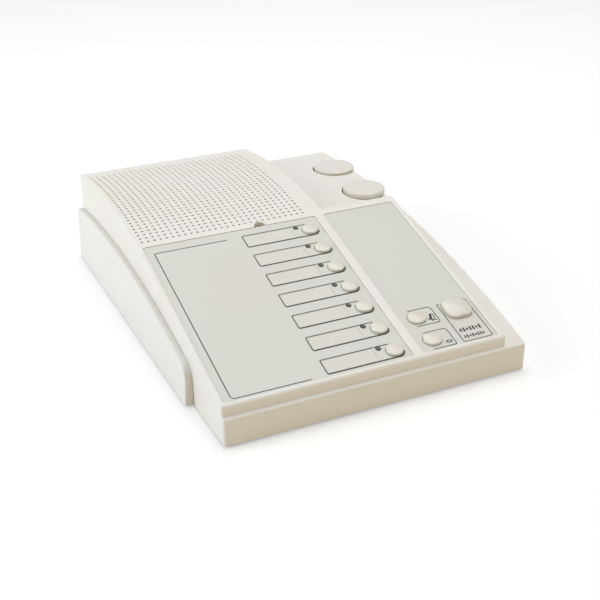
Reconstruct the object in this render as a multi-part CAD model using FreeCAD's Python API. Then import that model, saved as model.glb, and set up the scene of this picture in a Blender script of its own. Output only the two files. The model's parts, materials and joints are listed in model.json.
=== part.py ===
import FreeCAD, Part
import math
import os
from FreeCAD import Placement, Rotation, Vector

# Desk intercom: a wedge of moulded plastic with a loudspeaker grille behind a sloping key deck.
# Everything is drawn in case coordinates, in millimetres: x from the left side of the cover,
# y from its front face, z from its lower edge. The last step moves the origin to the middle of
# the underside of the feet. Places on the deck are x, v up the slope and w out of the slope.

# Upper cover
cover_width = 168.0
cover_depth = 240.0
cover_wall = 2.4
deck_wall = 3.0
corner_round = 1.8
rear_round = 1.6
edge_round = 1.0

# The low shoulder that runs along the right side and carries the two knobs at the rear
shoulder_radius = 626.0
shoulder_crown_y = 191.4
shoulder_crown_height = 44.4

# The key deck, a flat slope between the front ledge and the grille
deck_slope = 15.5
deck_line_height = 19.8
deck_front_y = 2.2
deck_width = 156.4
deck_front_round = 2.2

# The loudspeaker block with its domed top and its sloping right flank
dome_front_y = 122.0
dome_radius = 319.0
dome_crown_y = 181.0
block_width = 109.8
flank_slope = 42.0

# The soft fall from the rear end of the deck to the knob shoulder
fall_length = 27.0
fall_lead = 9.0
fall_lead_rise = 0.62
fall_run_out = 12.0

# Grille holes
hole_pitch = 3.515
hole_radius = 0.72
hole_columns = 28
hole_rows = 30
hole_left = 3.4
hole_front_y = 123.7

# Base tray with its proud, flared side skirts
skirt_front_y = 41.5
skirt_proud = 3.2
skirt_flare = 1.3
skirt_wall = 2.2
skirt_nose_round = 8.5
skirt_nose_wall = 6.0
skirt_edge_round = 0.8
seam_radius = 507.0
seam_crown_y = 171.0
seam_crown_height = 36.5
seam_gap = 0.25
base_floor = 2.5
base_wall = 2.4
fit_gap = 0.4

# Rubber feet
foot_stand = 1.0
foot_radius = 6.0
foot_recess = 1.0
foot_front_y = 27.0
foot_rear_y = 214.0
foot_inset = 15.0

# Case screws and the pillars that they join
pillar_radius = 4.5
pillar_height = 9.0
boss_radius = 3.8
screw_head_radius = 3.0
screw_head_height = 2.2
screw_shank_radius = 1.4
screw_length = 10.5
screw_slot_width = 0.7
screw_slot_depth = 0.7
counterbore_depth = 4.0
counterbore_gap = 0.3
thread_gap = 0.05
case_screw_places = [(11.0, 12.0), (160.4, 12.0), (9.5, 229.5), (158.5, 229.5)]

# Fascia plates set into the deck
fascia_recess = 1.4
fascia_thickness = 1.1
fascia_gap = 0.15
fascia_corner = 1.5
fascia_front_v = 4.6
fascia_rear_v = 123.6
left_fascia_low_x = 1.9
left_fascia_high_x = 103.7
right_fascia_low_x = 108.9
right_fascia_high_x = 153.2

# The seven call rows
call_rows = 7
row_pitch = 16.9
row_front_v = 6.6
row_height = 10.1
strip_low_x = 57.4
strip_high_x = 85.6
strip_margin = 0.6
strip_thickness = 0.3
strip_pocket = 0.35
strip_gap = 0.1

# Push keys
call_key_x = 95.75
call_key_offset_v = 4.7
call_key_size_x = 9.0
call_key_size_v = 8.0
call_key_rise = 1.3
function_key_x = 118.2
function_key_size_x = 10.0
function_key_size_v = 8.6
bell_key_v = 29.0
end_key_v = 12.3
talk_key_x = 142.2
talk_key_v = 29.0
talk_key_size_x = 14.8
talk_key_size_v = 13.6
talk_key_corner = 4.6
talk_key_rise = 2.6
key_gap = 0.25
key_crown_round = 0.7
key_crown_radius = 26.0
key_travel = 1.0
flange_lip = 1.1
flange_thickness = 1.0
flange_gap = 0.3
stem_size_x = 5.0
stem_size_v = 4.0
stem_corner = 0.8
stem_length = 1.1

# Key switches on the key board
switch_size = 6.0
switch_top_gap = 0.2
plunger_radius = 1.7
plunger_length = 3.0
plunger_gap = 0.1
switch_height = 3.9
cavity_floor_gap = 0.2

# Indicator lamps beside the call keys
lamp_x = 88.6
lamp_offset_v = 8.5
lamp_radius = 1.4
lamp_hole_gap = 0.15
lamp_rim = 0.4
lamp_lead_size = 0.5
lamp_lead_spread = 1.27
lamp_rise = 0.1

# Key board under the deck
board_thickness = 1.6
key_board_low_x = 58.0
key_board_high_x = 153.0
key_board_front_v = 8.0
key_board_rear_v = 127.0
board_post_radius = 2.6
board_screw_radius = 1.2
board_screw_head_radius = 2.4
board_screw_head_height = 1.5
board_screw_length = 5.5
board_slot_width = 0.5
board_slot_depth = 0.5
key_board_post_places = [
    (64.0, 14.0), (64.0, 114.0), (107.4, 22.0), (107.4, 114.0), (148.0, 60.0), (148.0, 114.0)
]

# Microphone behind the half-moon port
port_x = 70.2
port_flat_v = 123.6
port_radius = 3.5
capsule_radius = 3.0
capsule_height = 4.8
capsule_lead_radius = 0.3
capsule_lead_spread = 1.2
grommet_wall = 1.5
grommet_gap = 0.05
microphone_boss_wall = 1.5
microphone_offset_v = 1.2

# Loudspeaker
speaker_x = 54.9
speaker_y = 181.5
speaker_seat_height = 51.0
seat_ring_outer = 39.5
seat_ring_inner = 36.5
gasket_thickness = 0.8
basket_rim_radius = 38.5
basket_step_radius = 33.5
basket_rim_thickness = 1.0
basket_ledge_drop = 0.7
basket_ledge_inner = 30.5
basket_depth = 15.0
basket_wall = 0.9
basket_neck_radius = 15.0
voice_hole_radius = 7.0
cone_paper = 0.5
cone_drop = 9.5
dust_cap_radius = 8.0
dust_cap_rise = 3.0
voice_tube_radius = 6.5
voice_tube_length = 4.0
magnet_radius = 18.0
magnet_height = 9.5
pole_plate_radius = 16.0
pole_plate_thickness = 1.8
clip_places = [45.0, 135.0, 225.0, 315.0]
clip_post_circle = 43.6
clip_post_radius = 3.0
clip_length = 11.0
clip_width = 7.0
clip_thickness = 0.8
clip_overlap = 2.6
clip_screw_length = 2.75

# Thumb knobs and their potentiometers
knob_radius = 12.9
knob_x = 157.9
knob_front_y = 161.6
knob_rear_y = 203.1
knob_top_height = 46.6
knob_thickness = 6.4
knob_top_round = 1.2
knob_bottom_round = 0.5
knob_crown_radius = 190.0
knob_cavity_radius = 9.0
knob_cavity_depth = 2.6
pocket_gap = 0.95
pocket_floor_gap = 0.4
pocket_floor = 2.2
pocket_wall = 1.8
shaft_radius = 2.0
shaft_gap = 0.05
shaft_engagement = 2.7
bushing_radius = 3.5
bushing_hole_gap = 0.15
nut_across_flats = 10.0
nut_height = 1.6
nut_gap = 0.05
pot_radius = 6.9
pot_height = 8.0
pot_floor = 1.6
pot_tab_width = 9.0
pot_tab_length = 4.0
pot_tab_thickness = 0.8

# Main board and the parts on it
main_board_low_x = 30.0
main_board_high_x = 150.0
main_board_front_y = 131.0
main_board_rear_y = 231.0
main_board_post_height = 5.0
main_board_post_inset = 6.0
chip_places = [(60.0, 146.0), (92.0, 146.0), (92.0, 172.0)]
chip_length = 19.0
chip_width = 6.6
chip_height = 3.4
can_places = [(44.0, 212.0), (60.0, 216.0), (76.0, 212.0)]
can_radius = 5.0
can_height = 12.5
transformer_place = (130.0, 163.0)
transformer_core_x = 26.0
transformer_core_y = 22.0
transformer_core_height = 19.0
bobbin_width = 15.0
bobbin_bulge = 3.0
bobbin_height = 12.0
terminal_ways = 6
terminal_pitch = 5.08
terminal_low_x = 96.0
terminal_rear_y = 229.0
terminal_depth = 9.0
terminal_height = 10.0
terminal_screw_radius = 1.6
terminal_screw_sink = 0.4
terminal_screw_length = 4.0
terminal_slot_width = 0.8
terminal_slot_depth = 0.8
terminal_mouth_radius = 1.4
terminal_mouth_depth = 5.0
terminal_mouth_height = 3.4

# Ribbon between the two boards, and its socket on the main board
socket_place = (120.0, 138.0)
socket_length = 18.0
socket_width = 5.0
socket_height = 6.0
ribbon_width = 14.0
ribbon_thickness = 0.9
ribbon_bend = 5.0
ribbon_entry_v = 119.0

# Loudspeaker leads
lead_radius = 0.8
lead_bend = 6.0
lead_reach = 8.0
lead_spacing = 1.7
lead_post_y = 219.0

# Cable inlet in the rear wall, with its rubber grommet
inlet_x = 112.0
inlet_height = 15.0
inlet_bore = 3.0
inlet_sleeve_wall = 1.4
inlet_flange_radius = 6.2
inlet_flange_thickness = 1.2
inlet_pad_radius = 8.5
inlet_pad_depth = 4.4
inlet_gap = 0.15

# Cutting bodies run past the faces that they open by the overshoot
overshoot = 5.0
same = 1e-6
corner_flat = 0.01

deck_angle = math.radians(deck_slope)
deck_under = deck_wall * math.cos(deck_angle)
deck_core = -(deck_under + fascia_recess) / 2
deck_placement = Placement(Vector(0, 0, deck_line_height), Rotation(Vector(1, 0, 0), deck_slope))
origin_shift = Vector(-cover_width / 2, -cover_depth / 2, foot_stand)


# Heights of the three long curves at a distance y from the front
def circle_height(y, radius, crown_y, crown_height):
    return crown_height - radius + math.sqrt(radius ** 2 - (y - crown_y) ** 2)


def shoulder_height(y):
    return circle_height(y, shoulder_radius, shoulder_crown_y, shoulder_crown_height)


def seam_height(y):
    return circle_height(y, seam_radius, seam_crown_y, seam_crown_height)


def deck_height(y):
    return deck_line_height + y * math.tan(deck_angle)


def dome_height(y):
    lift = deck_height(dome_front_y) - circle_height(dome_front_y, dome_radius, dome_crown_y, 0.0)
    return circle_height(y, dome_radius, dome_crown_y, lift)


# Small building helpers
def yz(y, z):
    return Vector(0, y, z)


def box(low, high):
    size = high.sub(low)
    return Part.makeBox(size.x, size.y, size.z, low)


def round_bar(radius, low, high):
    along = high.sub(low)
    return Part.makeCylinder(radius, along.Length, low, along)


def post(radius, x, y, low, high):
    return Part.makeCylinder(radius, high - low, Vector(x, y, low))


def join(shapes):
    return shapes[0].multiFuse(shapes[1:]).removeSplitter()


def prism(edges, low_x, high_x):
    solid = Part.Face(Part.Wire(edges)).extrude(Vector(high_x - low_x, 0, 0))
    solid.translate(Vector(low_x, 0, 0))
    return solid


def polygon_edges(points):
    return [Part.LineSegment(a, b).toShape() for a, b in zip(points, points[1:])]


def edge_under(height, front_y, rear_y, drop):
    front, middle, rear = [yz(y, height(y) - drop) for y in (front_y, (front_y + rear_y) / 2, rear_y)]
    if middle.distanceToPoint((front + rear) / 2) < same:
        return Part.LineSegment(front, rear).toShape()
    return Part.Arc(front, middle, rear).toShape()


def block_under(height, front_y, rear_y, low_z, drop, low_x, high_x):
    top = edge_under(height, front_y, rear_y, drop)
    front_top = yz(front_y, height(front_y) - drop)
    rear_top = yz(rear_y, height(rear_y) - drop)
    sides = polygon_edges([rear_top, yz(rear_y, low_z), yz(front_y, low_z), front_top])
    return prism([top] + sides, low_x, high_x)


def rounded_plate(centre_x, centre_y, size_x, size_y, corner, low, high):
    half_x = size_x / 2
    half_y = size_y / 2
    corner = min(corner, half_x - corner_flat, half_y - corner_flat)
    solid = Part.makeBox(size_x, size_y, high - low, Vector(centre_x - half_x, centre_y - half_y, low))
    upright = [e for e in solid.Edges if abs(e.BoundBox.ZLength - (high - low)) < same]
    return solid.makeFillet(corner, upright)


def slot_cut(x, y, width, length, low, high):
    return box(Vector(x - length / 2, y - width / 2, low), Vector(x + length / 2, y + width / 2, high))


def on_deck(shape):
    placed = shape.copy()
    placed.Placement = deck_placement.multiply(placed.Placement)
    return placed


def on_deck_solids(solids):
    return [on_deck(s) for s in solids]


def edges_near(shape, points):
    return [min(shape.Edges, key=lambda e: e.distToShape(Part.Vertex(p))[0]) for p in points]


def write(node, shape):
    moved = shape.copy()
    moved.translate(origin_shift)
    moved.exportStep("parts/" + node + ".step")


def write_group(node, solids):
    write(node, Part.makeCompound(solids))


# Outer form of the case, with every upper face lowered by the wall it stands for
def fall_block(drop, inset, low_z):
    start = yz(dome_front_y, deck_height(dome_front_y) - drop)
    end_y = dome_front_y + fall_length
    end = yz(end_y, shoulder_height(end_y) - drop)
    end_slope = (shoulder_crown_y - end_y) / shoulder_radius
    lead = yz(start.y + fall_lead, start.z + fall_lead_rise)
    run_out = yz(end.y - fall_run_out, end.z - fall_run_out * end_slope)
    curve = Part.BezierCurve()
    curve.setPoles([start, lead, run_out, end])
    sides = polygon_edges([end, yz(end.y, low_z), yz(start.y, low_z), start])
    return prism([curve.toShape()] + sides, block_width - fall_lead, deck_width - inset)


def flank_block(drop, inset, low_z):
    flank_run = cover_width - block_width
    slant = Vector(flank_run, 0, -flank_run * math.tan(math.radians(flank_slope)))
    front_y = dome_front_y
    rear_y = cover_depth - inset
    top = edge_under(dome_height, front_y, rear_y, drop)
    ends = [yz(rear_y, dome_height(rear_y) - drop), yz(rear_y, -cover_width), yz(front_y, -cover_width)]
    sides = polygon_edges(ends + [yz(front_y, dome_height(front_y) - drop)])
    solid = Part.Face(Part.Wire([top] + sides)).extrude(slant)
    solid.translate(Vector(block_width - inset, 0, 0))
    keep = box(Vector(0, 0, low_z), Vector(cover_width - inset, cover_depth, 2 * cover_width))
    return solid.common(keep)


def case_form(inset, drop, deck_drop, low_z):
    front_y = inset
    rear_y = cover_depth - inset
    low_x = inset
    pieces = [
        block_under(shoulder_height, front_y, rear_y, low_z, drop, low_x, cover_width - inset),
        block_under(
            deck_height, deck_front_y + inset, dome_front_y, low_z, deck_drop, low_x, deck_width - inset
        ),
        block_under(dome_height, dome_front_y, rear_y, low_z, drop, low_x, block_width - inset),
        flank_block(drop, inset, low_z),
        fall_block(drop, inset, low_z),
    ]
    return join(pieces)


def round_case_edges(form):
    middle_y = cover_depth / 3
    upright_low = deck_height(0) / 4
    form = form.makeFillet(corner_round, edges_near(form, [Vector(0, 0, upright_low)]))
    form = form.makeFillet(corner_round, edges_near(form, [Vector(cover_width, 0, upright_low)]))
    form = form.makeFillet(rear_round, edges_near(form, [Vector(0, cover_depth, upright_low)]))
    form = form.makeFillet(rear_round, edges_near(form, [Vector(cover_width, cover_depth, upright_low)]))
    deck_edge = Vector(cover_width / 2, deck_front_y, deck_height(deck_front_y))
    form = form.makeFillet(deck_front_round, edges_near(form, [deck_edge]))
    deck_left = Vector(0, middle_y, deck_height(middle_y))
    dome_left = Vector(0, dome_crown_y, dome_height(dome_crown_y))
    form = form.makeFillet(edge_round, edges_near(form, [deck_left, dome_left]))
    right_edge = Vector(deck_width, middle_y, deck_height(middle_y))
    form = form.makeFillet(edge_round, edges_near(form, [right_edge]))
    shoulder_edge = Vector(cover_width, middle_y, shoulder_height(middle_y))
    form = form.makeFillet(edge_round, edges_near(form, [shoulder_edge]))
    return form


def under_seam(rise):
    front_y = skirt_front_y - fit_gap
    rear_y = cover_depth + overshoot
    return block_under(
        seam_height, front_y, rear_y, -overshoot, -rise, -2 * overshoot, cover_width + 2 * overshoot
    )


# Key places on the deck, each with its size
def call_key_places():
    return [(call_key_x, row_front_v + call_key_offset_v + i * row_pitch) for i in range(call_rows)]


def lamp_places():
    return [(lamp_x, row_front_v + lamp_offset_v + i * row_pitch) for i in range(call_rows)]


def key_set():
    keys = {}
    for i, place in enumerate(call_key_places()):
        corner = call_key_size_v / 2
        keys["call_key_%d" % (i + 1)] = (place, call_key_size_x, call_key_size_v, corner, call_key_rise)
    corner = function_key_size_v / 2
    for name, v in (("bell_key", bell_key_v), ("end_key", end_key_v)):
        keys[name] = ((function_key_x, v), function_key_size_x, function_key_size_v, corner, call_key_rise)
    talk_place = (talk_key_x, talk_key_v)
    keys["talk_key"] = (talk_place, talk_key_size_x, talk_key_size_v, talk_key_corner, talk_key_rise)
    return keys


flange_top = -deck_under - flange_gap
flange_bottom = flange_top - flange_thickness
stem_bottom = flange_bottom - stem_length
switch_top = stem_bottom - key_travel - switch_top_gap
key_board_top = switch_top - switch_height


# Upper cover
def fascia_recess_cut(low_x, high_x):
    centre_x = (low_x + high_x) / 2
    centre_v = (fascia_front_v + fascia_rear_v) / 2
    size_x = high_x - low_x
    size_v = fascia_rear_v - fascia_front_v
    return rounded_plate(centre_x, centre_v, size_x, size_v, fascia_corner, -fascia_recess, overshoot)


def key_opening(key, low, high):
    place, size_x, size_v, corner, _ = key
    size = (size_x + 2 * key_gap, size_v + 2 * key_gap)
    return rounded_plate(place[0], place[1], size[0], size[1], corner + key_gap, low, high)


def half_moon_port(low, high):
    return Part.makeCylinder(port_radius, high - low, Vector(port_x, port_flat_v, low), Vector(0, 0, 1), 180)


def deck_cuts():
    cuts = [
        fascia_recess_cut(left_fascia_low_x, left_fascia_high_x),
        fascia_recess_cut(right_fascia_low_x, right_fascia_high_x),
    ]
    cuts += [key_opening(key, -2 * deck_wall, overshoot) for key in key_set().values()]
    for x, v in lamp_places():
        cuts.append(post(lamp_radius + lamp_hole_gap, x, v, -2 * deck_wall, overshoot))
    cuts.append(half_moon_port(-2 * deck_wall, overshoot))
    return on_deck_solids(cuts)


def key_board_posts():
    solids = []
    for x, v in key_board_post_places:
        stud = post(board_post_radius, x, v, key_board_top, deck_core)
        hole = post(board_screw_radius + thread_gap, x, v, key_board_top, -deck_under)
        solids.append(stud.cut(hole))
    return on_deck_solids(solids)


def microphone_centre():
    return port_x, port_flat_v + microphone_offset_v


def microphone_boss():
    x, v = microphone_centre()
    inner = capsule_radius + grommet_gap + grommet_wall + grommet_gap
    low = -deck_under - capsule_height
    ring = post(inner + microphone_boss_wall, x, v, low, deck_core)
    hollow = post(inner, x, v, low, -deck_under)
    return on_deck(ring.cut(hollow).cut(half_moon_port(-2 * deck_wall, 0)))


def speaker_seat():
    outer = post(seat_ring_outer, speaker_x, speaker_y, speaker_seat_height, 2 * speaker_seat_height)
    inner = post(seat_ring_inner, speaker_x, speaker_y, speaker_seat_height, 2 * speaker_seat_height)
    half_wall = cover_wall / 2
    under_dome = block_under(dome_height, dome_front_y, cover_depth, 0, half_wall, half_wall, block_width)
    return outer.cut(inner).common(under_dome)


def clip_centre(angle):
    turn = math.radians(angle)
    return speaker_x + clip_post_circle * math.cos(turn), speaker_y + clip_post_circle * math.sin(turn)


def clip_posts():
    clip_plane = speaker_seat_height - gasket_thickness - basket_rim_thickness
    solids = []
    for angle in clip_places:
        x, y = clip_centre(angle)
        stud = post(clip_post_radius, x, y, clip_plane, dome_height(y) - cover_wall / 2)
        hole = post(board_screw_radius + thread_gap, x, y, clip_plane, dome_height(y) - cover_wall)
        solids.append(stud.cut(hole))
    return solids


def case_height(x, y):
    if x < deck_width and y < dome_front_y:
        return deck_height(y) - deck_wall / 2
    if x < block_width:
        return dome_height(y) - cover_wall / 2
    return shoulder_height(y) - cover_wall / 2


def screw_bosses():
    solids = []
    low = pillar_height + fit_gap
    screw_tip = counterbore_depth + screw_length
    for x, y in case_screw_places:
        stud = post(boss_radius, x, y, low, case_height(x, y))
        hole = post(screw_shank_radius + thread_gap, x, y, low, screw_tip + fit_gap)
        solids.append(stud.cut(hole))
    return solids


def knob_places():
    return [(knob_x, knob_front_y), (knob_x, knob_rear_y)]


knob_bottom_height = knob_top_height - knob_thickness
pocket_floor_height = knob_bottom_height - pocket_floor_gap
pocket_under_height = pocket_floor_height - pocket_floor


def knob_cups(form):
    cups = []
    for x, y in knob_places():
        cups.append(post(knob_radius + pocket_gap + pocket_wall, x, y, pocket_under_height, knob_top_height))
    return Part.makeCompound(cups).common(form)


def knob_pockets():
    cuts = []
    for x, y in knob_places():
        cuts.append(post(knob_radius + pocket_gap, x, y, pocket_floor_height, 2 * knob_top_height))
        cuts.append(post(bushing_radius + bushing_hole_gap, x, y, 0, pocket_floor_height + overshoot))
    return cuts


def grille_holes():
    holes = []
    first_angle = math.asin((hole_front_y - dome_crown_y) / dome_radius)
    for row in range(hole_rows):
        y = dome_crown_y + dome_radius * math.sin(first_angle + row * hole_pitch / dome_radius)
        low = dome_height(y) - cover_wall - fit_gap
        for column in range(hole_columns):
            x = hole_left + column * hole_pitch
            holes.append(post(hole_radius, x, y, low, low + cover_wall + overshoot))
    return holes


def upper_cover():
    form = round_case_edges(case_form(0.0, 0.0, 0.0, 0.0))
    hollow = case_form(cover_wall, cover_wall, deck_wall, -overshoot)
    shell = form.cut(hollow).cut(under_seam(seam_gap))
    seats = [knob_cups(form), speaker_seat(), microphone_boss()]
    studs = clip_posts() + screw_bosses() + key_board_posts()
    shell = join([shell] + seats + studs)
    for cuts in (deck_cuts(), knob_pockets(), grille_holes()):
        shell = shell.cut(Part.makeCompound(cuts))
    return shell


# Base tray. Each skirt begins with a rounded nose that runs tangent into its front face and its seam
def skirt_nose_cut(low_x, high_x):
    seam_centre = yz(seam_crown_y, seam_crown_height - seam_radius)
    reach = seam_radius - skirt_nose_round
    centre_y = skirt_front_y + skirt_nose_round
    centre = yz(centre_y, seam_centre.z + math.sqrt(reach ** 2 - (seam_crown_y - centre_y) ** 2))
    meeting = seam_centre.add(centre.sub(seam_centre) * (seam_radius / reach))
    corner = box(
        Vector(low_x, skirt_front_y - overshoot, centre.z), Vector(high_x, meeting.y, 2 * seam_crown_height)
    )
    nose = round_bar(skirt_nose_round, Vector(low_x, centre.y, centre.z), Vector(high_x, centre.y, centre.z))
    return corner.cut(nose)


def skirt_form():
    side = skirt_proud + skirt_flare
    solid = block_under(seam_height, skirt_front_y, cover_depth, 0, 0, -side, cover_width + side)
    tilt = math.degrees(math.atan(skirt_flare / seam_crown_height))
    thickness = 2 * overshoot
    for pivot_x, turn, low_x in ((-side, tilt, -thickness), (cover_width + side, -tilt, 0)):
        low = Vector(low_x, 0, -cover_width)
        slab = box(low, Vector(low_x + thickness, cover_depth, cover_width))
        slab.rotate(Vector(0, 0, 0), Vector(0, 1, 0), turn)
        slab.translate(Vector(pivot_x, 0, 0))
        solid = solid.cut(slab)
    solid = solid.cut(skirt_nose_cut(-2 * side, 0)).cut(skirt_nose_cut(cover_width, cover_width + 2 * side))
    middle_y = cover_depth / 2
    rims = [Vector(x, middle_y, seam_height(middle_y)) for x in (-skirt_proud, cover_width + skirt_proud)]
    return solid.makeFillet(skirt_edge_round, edges_near(solid, rims))


def inlet_bar(radius, low_y, high_y):
    return round_bar(radius, Vector(inlet_x, low_y, inlet_height), Vector(inlet_x, high_y, inlet_height))


def base_tray():
    inner_rear = cover_depth - base_wall
    side_pocket = block_under(
        seam_height, skirt_front_y + skirt_nose_wall, inner_rear, base_floor, skirt_wall,
        -skirt_proud + skirt_wall, cover_width + skirt_proud - skirt_wall
    )
    middle = box(
        Vector(cover_wall, -overshoot, base_floor), Vector(cover_width - cover_wall, inner_rear, cover_width)
    )
    tongue = box(
        Vector(cover_wall + fit_gap, cover_wall + fit_gap, 0),
        Vector(cover_width - cover_wall - fit_gap, skirt_front_y + skirt_wall, base_floor)
    )
    tray = join([skirt_form().cut(side_pocket).cut(middle), tongue])
    adds = [post(pillar_radius, x, y, 0, pillar_height) for x, y in case_screw_places]
    adds += [post(board_post_radius, x, y, base_floor / 2, base_floor + main_board_post_height)
             for x, y in main_board_post_places()]
    adds.append(inlet_bar(inlet_pad_radius, cover_depth - inlet_pad_depth, cover_depth))
    tray = join([tray] + adds)
    cuts = []
    for x, y in case_screw_places:
        cuts.append(post(screw_head_radius + counterbore_gap, x, y, -overshoot, counterbore_depth))
        cuts.append(post(screw_shank_radius + counterbore_gap, x, y, -overshoot, pillar_height + overshoot))
    for x, y in main_board_post_places():
        cuts.append(post(board_screw_radius + thread_gap, x, y, base_floor, 2 * pillar_height))
    for x, y in foot_places():
        cuts.append(post(foot_radius + fit_gap / 2, x, y, -overshoot, foot_recess))
    clear_y = cover_depth + overshoot
    sleeve_hole = inlet_bore + inlet_sleeve_wall + inlet_gap
    cuts.append(inlet_bar(sleeve_hole, cover_depth - 2 * inlet_pad_depth, clear_y))
    flange_seat_y = cover_depth - inlet_flange_thickness - inlet_gap
    cuts.append(inlet_bar(inlet_flange_radius + inlet_gap, flange_seat_y, clear_y))
    return tray.cut(Part.makeCompound(cuts))


def foot_places():
    return [(x, y) for x in (foot_inset, cover_width - foot_inset) for y in (foot_front_y, foot_rear_y)]


def rubber_feet():
    solids = []
    for x, y in foot_places():
        disc = post(foot_radius, x, y, -foot_stand, foot_recess)
        low_edge = [e for e in disc.Edges if abs(e.BoundBox.ZMax + foot_stand) < same]
        solids.append(disc.makeFillet(foot_stand / 3, low_edge))
    return solids


def case_screws():
    solids = []
    head_low = counterbore_depth - screw_head_height
    slot_high = head_low + screw_slot_depth
    for x, y in case_screw_places:
        head = post(screw_head_radius, x, y, head_low, counterbore_depth)
        shank = post(screw_shank_radius, x, y, slot_high, counterbore_depth + screw_length)
        slot = slot_cut(x, y, screw_slot_width, 3 * screw_head_radius, head_low - overshoot, slot_high)
        solids.append(head.fuse(shank).cut(slot))
    return solids


# Fascia plates and name strips
def fascia(low_x, high_x, keys):
    centre_x = (low_x + high_x) / 2
    centre_v = (fascia_front_v + fascia_rear_v) / 2
    size_x = high_x - low_x - 2 * fascia_gap
    size_v = fascia_rear_v - fascia_front_v - 2 * fascia_gap
    low = -fascia_recess
    plate = rounded_plate(centre_x, centre_v, size_x, size_v, fascia_corner, low, low + fascia_thickness)
    for key in keys:
        plate = plate.cut(key_opening(key, -2 * deck_wall, overshoot))
    return plate


def strip_span(row):
    front = row_front_v + row * row_pitch + strip_margin
    return front, front + row_height - 2 * strip_margin


def left_fascia():
    keys = key_set()
    call_keys = [keys[k] for k in keys if k.startswith("call")]
    plate = fascia(left_fascia_low_x, left_fascia_high_x, call_keys)
    top = fascia_thickness - fascia_recess
    cuts = [post(lamp_radius + lamp_hole_gap, x, v, -2 * deck_wall, overshoot) for x, v in lamp_places()]
    for row in range(call_rows):
        front, rear = strip_span(row)
        low_corner = Vector(strip_low_x, front, top - strip_pocket)
        cuts.append(box(low_corner, Vector(strip_high_x, rear, overshoot)))
    return on_deck(plate.cut(Part.makeCompound(cuts)))


def right_fascia():
    keys = key_set()
    function_keys = [keys[k] for k in keys if not k.startswith("call")]
    return on_deck(fascia(right_fascia_low_x, right_fascia_high_x, function_keys))


def name_strips():
    low = fascia_thickness - fascia_recess - strip_pocket
    solids = []
    for row in range(call_rows):
        front, rear = strip_span(row)
        solids.append(
            box(Vector(strip_low_x + strip_gap, front + strip_gap, low),
                Vector(strip_high_x - strip_gap, rear - strip_gap, low + strip_thickness))
        )
    return on_deck_solids(solids)


# Keys, their plungers and the switch bodies
def key_cap(key):
    place, size_x, size_v, corner, rise = key
    x, v = place
    cap = rounded_plate(x, v, size_x, size_v, corner, flange_bottom, rise)
    cap = cap.common(Part.makeSphere(key_crown_radius, Vector(x, v, rise - key_crown_radius)))
    crown = [e for e in cap.Edges if e.BoundBox.ZMin > 0]
    cap = cap.makeFillet(key_crown_round, crown)
    lip = 2 * (flange_lip + key_gap)
    flange = rounded_plate(x, v, size_x + lip, size_v + lip, corner + flange_lip, flange_bottom, flange_top)
    stem = rounded_plate(x, v, stem_size_x, stem_size_v, stem_corner, stem_bottom, flange_top)
    return on_deck(join([cap, flange, stem]))


def key_plunger(key):
    x, v = key[0]
    return on_deck(post(plunger_radius, x, v, stem_bottom - plunger_length, stem_bottom))


def switch_body(key):
    x, v = key[0]
    half = switch_size / 2
    body = box(Vector(x - half, v - half, key_board_top), Vector(x + half, v + half, switch_top))
    cavity_low = stem_bottom - plunger_length - key_travel - cavity_floor_gap
    cavity = post(plunger_radius + plunger_gap, x, v, cavity_low, switch_top + overshoot)
    return on_deck(body.cut(cavity))


def call_lamps():
    solids = []
    rim_high = -deck_under - flange_gap
    for x, v in lamp_places():
        body = post(lamp_radius, x, v, rim_high - lamp_rim, lamp_rise)
        crown = [e for e in body.Edges if e.BoundBox.ZMin > lamp_rise - same]
        body = body.makeFillet(lamp_radius / 2, crown)
        rim = post(lamp_radius + lamp_rim, x, v, rim_high - lamp_rim, rim_high)
        pieces = [body, rim]
        for side in (-1, 1):
            lead_x = x + side * lamp_lead_spread / 2
            half = lamp_lead_size / 2
            pieces.append(
                box(Vector(lead_x - half, v - half, key_board_top), Vector(lead_x + half, v + half, rim_high))
            )
        solids.append(join(pieces))
    return on_deck_solids(solids)


def key_board():
    low = key_board_top - board_thickness
    low_corner = Vector(key_board_low_x, key_board_front_v, low)
    plate = box(low_corner, Vector(key_board_high_x, key_board_rear_v, key_board_top))
    radius = board_screw_radius + fit_gap / 2
    holes = [post(radius, x, v, low - overshoot, 0) for x, v in key_board_post_places]
    return on_deck(plate.cut(Part.makeCompound(holes)))


def board_screw(x, y, head_face, length, upward):
    slot_high = board_slot_depth - board_screw_head_height
    head = post(board_screw_head_radius, 0, 0, -board_screw_head_height, 0)
    shank = post(board_screw_radius, 0, 0, slot_high, length)
    slot = slot_cut(0, 0, board_slot_width, 3 * board_screw_head_radius, -overshoot, slot_high)
    screw = head.fuse(shank).cut(slot)
    if not upward:
        screw.rotate(Vector(0, 0, 0), Vector(1, 0, 0), 180)
    screw.translate(Vector(x, y, head_face))
    return screw


def key_board_screws():
    head_face = key_board_top - board_thickness
    return on_deck_solids(
        [board_screw(x, v, head_face, board_screw_length, True) for x, v in key_board_post_places]
    )


# Microphone
def microphone_capsule():
    x, v = microphone_centre()
    top = -deck_under
    can = post(capsule_radius, x, v, top - capsule_height, top)
    leads = [
        post(capsule_lead_radius, x + side * capsule_lead_spread, v, key_board_top, top - capsule_height / 2)
        for side in (-1, 1)
    ]
    return on_deck(join([can] + leads))


def microphone_grommet():
    x, v = microphone_centre()
    top = -deck_under
    outer = post(capsule_radius + grommet_gap + grommet_wall, x, v, top - capsule_height, top)
    bore = post(capsule_radius + grommet_gap, x, v, top - 2 * capsule_height, top + overshoot)
    return on_deck(outer.cut(bore))


# Loudspeaker, turned about the upright axis through its centre
def turned(points):
    placed = [Vector(speaker_x + r, speaker_y, z) for r, z in points]
    face = Part.Face(Part.Wire(polygon_edges(placed + placed[:1])))
    return face.revolve(Vector(speaker_x, speaker_y, 0), Vector(0, 0, 1), 360)


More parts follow.
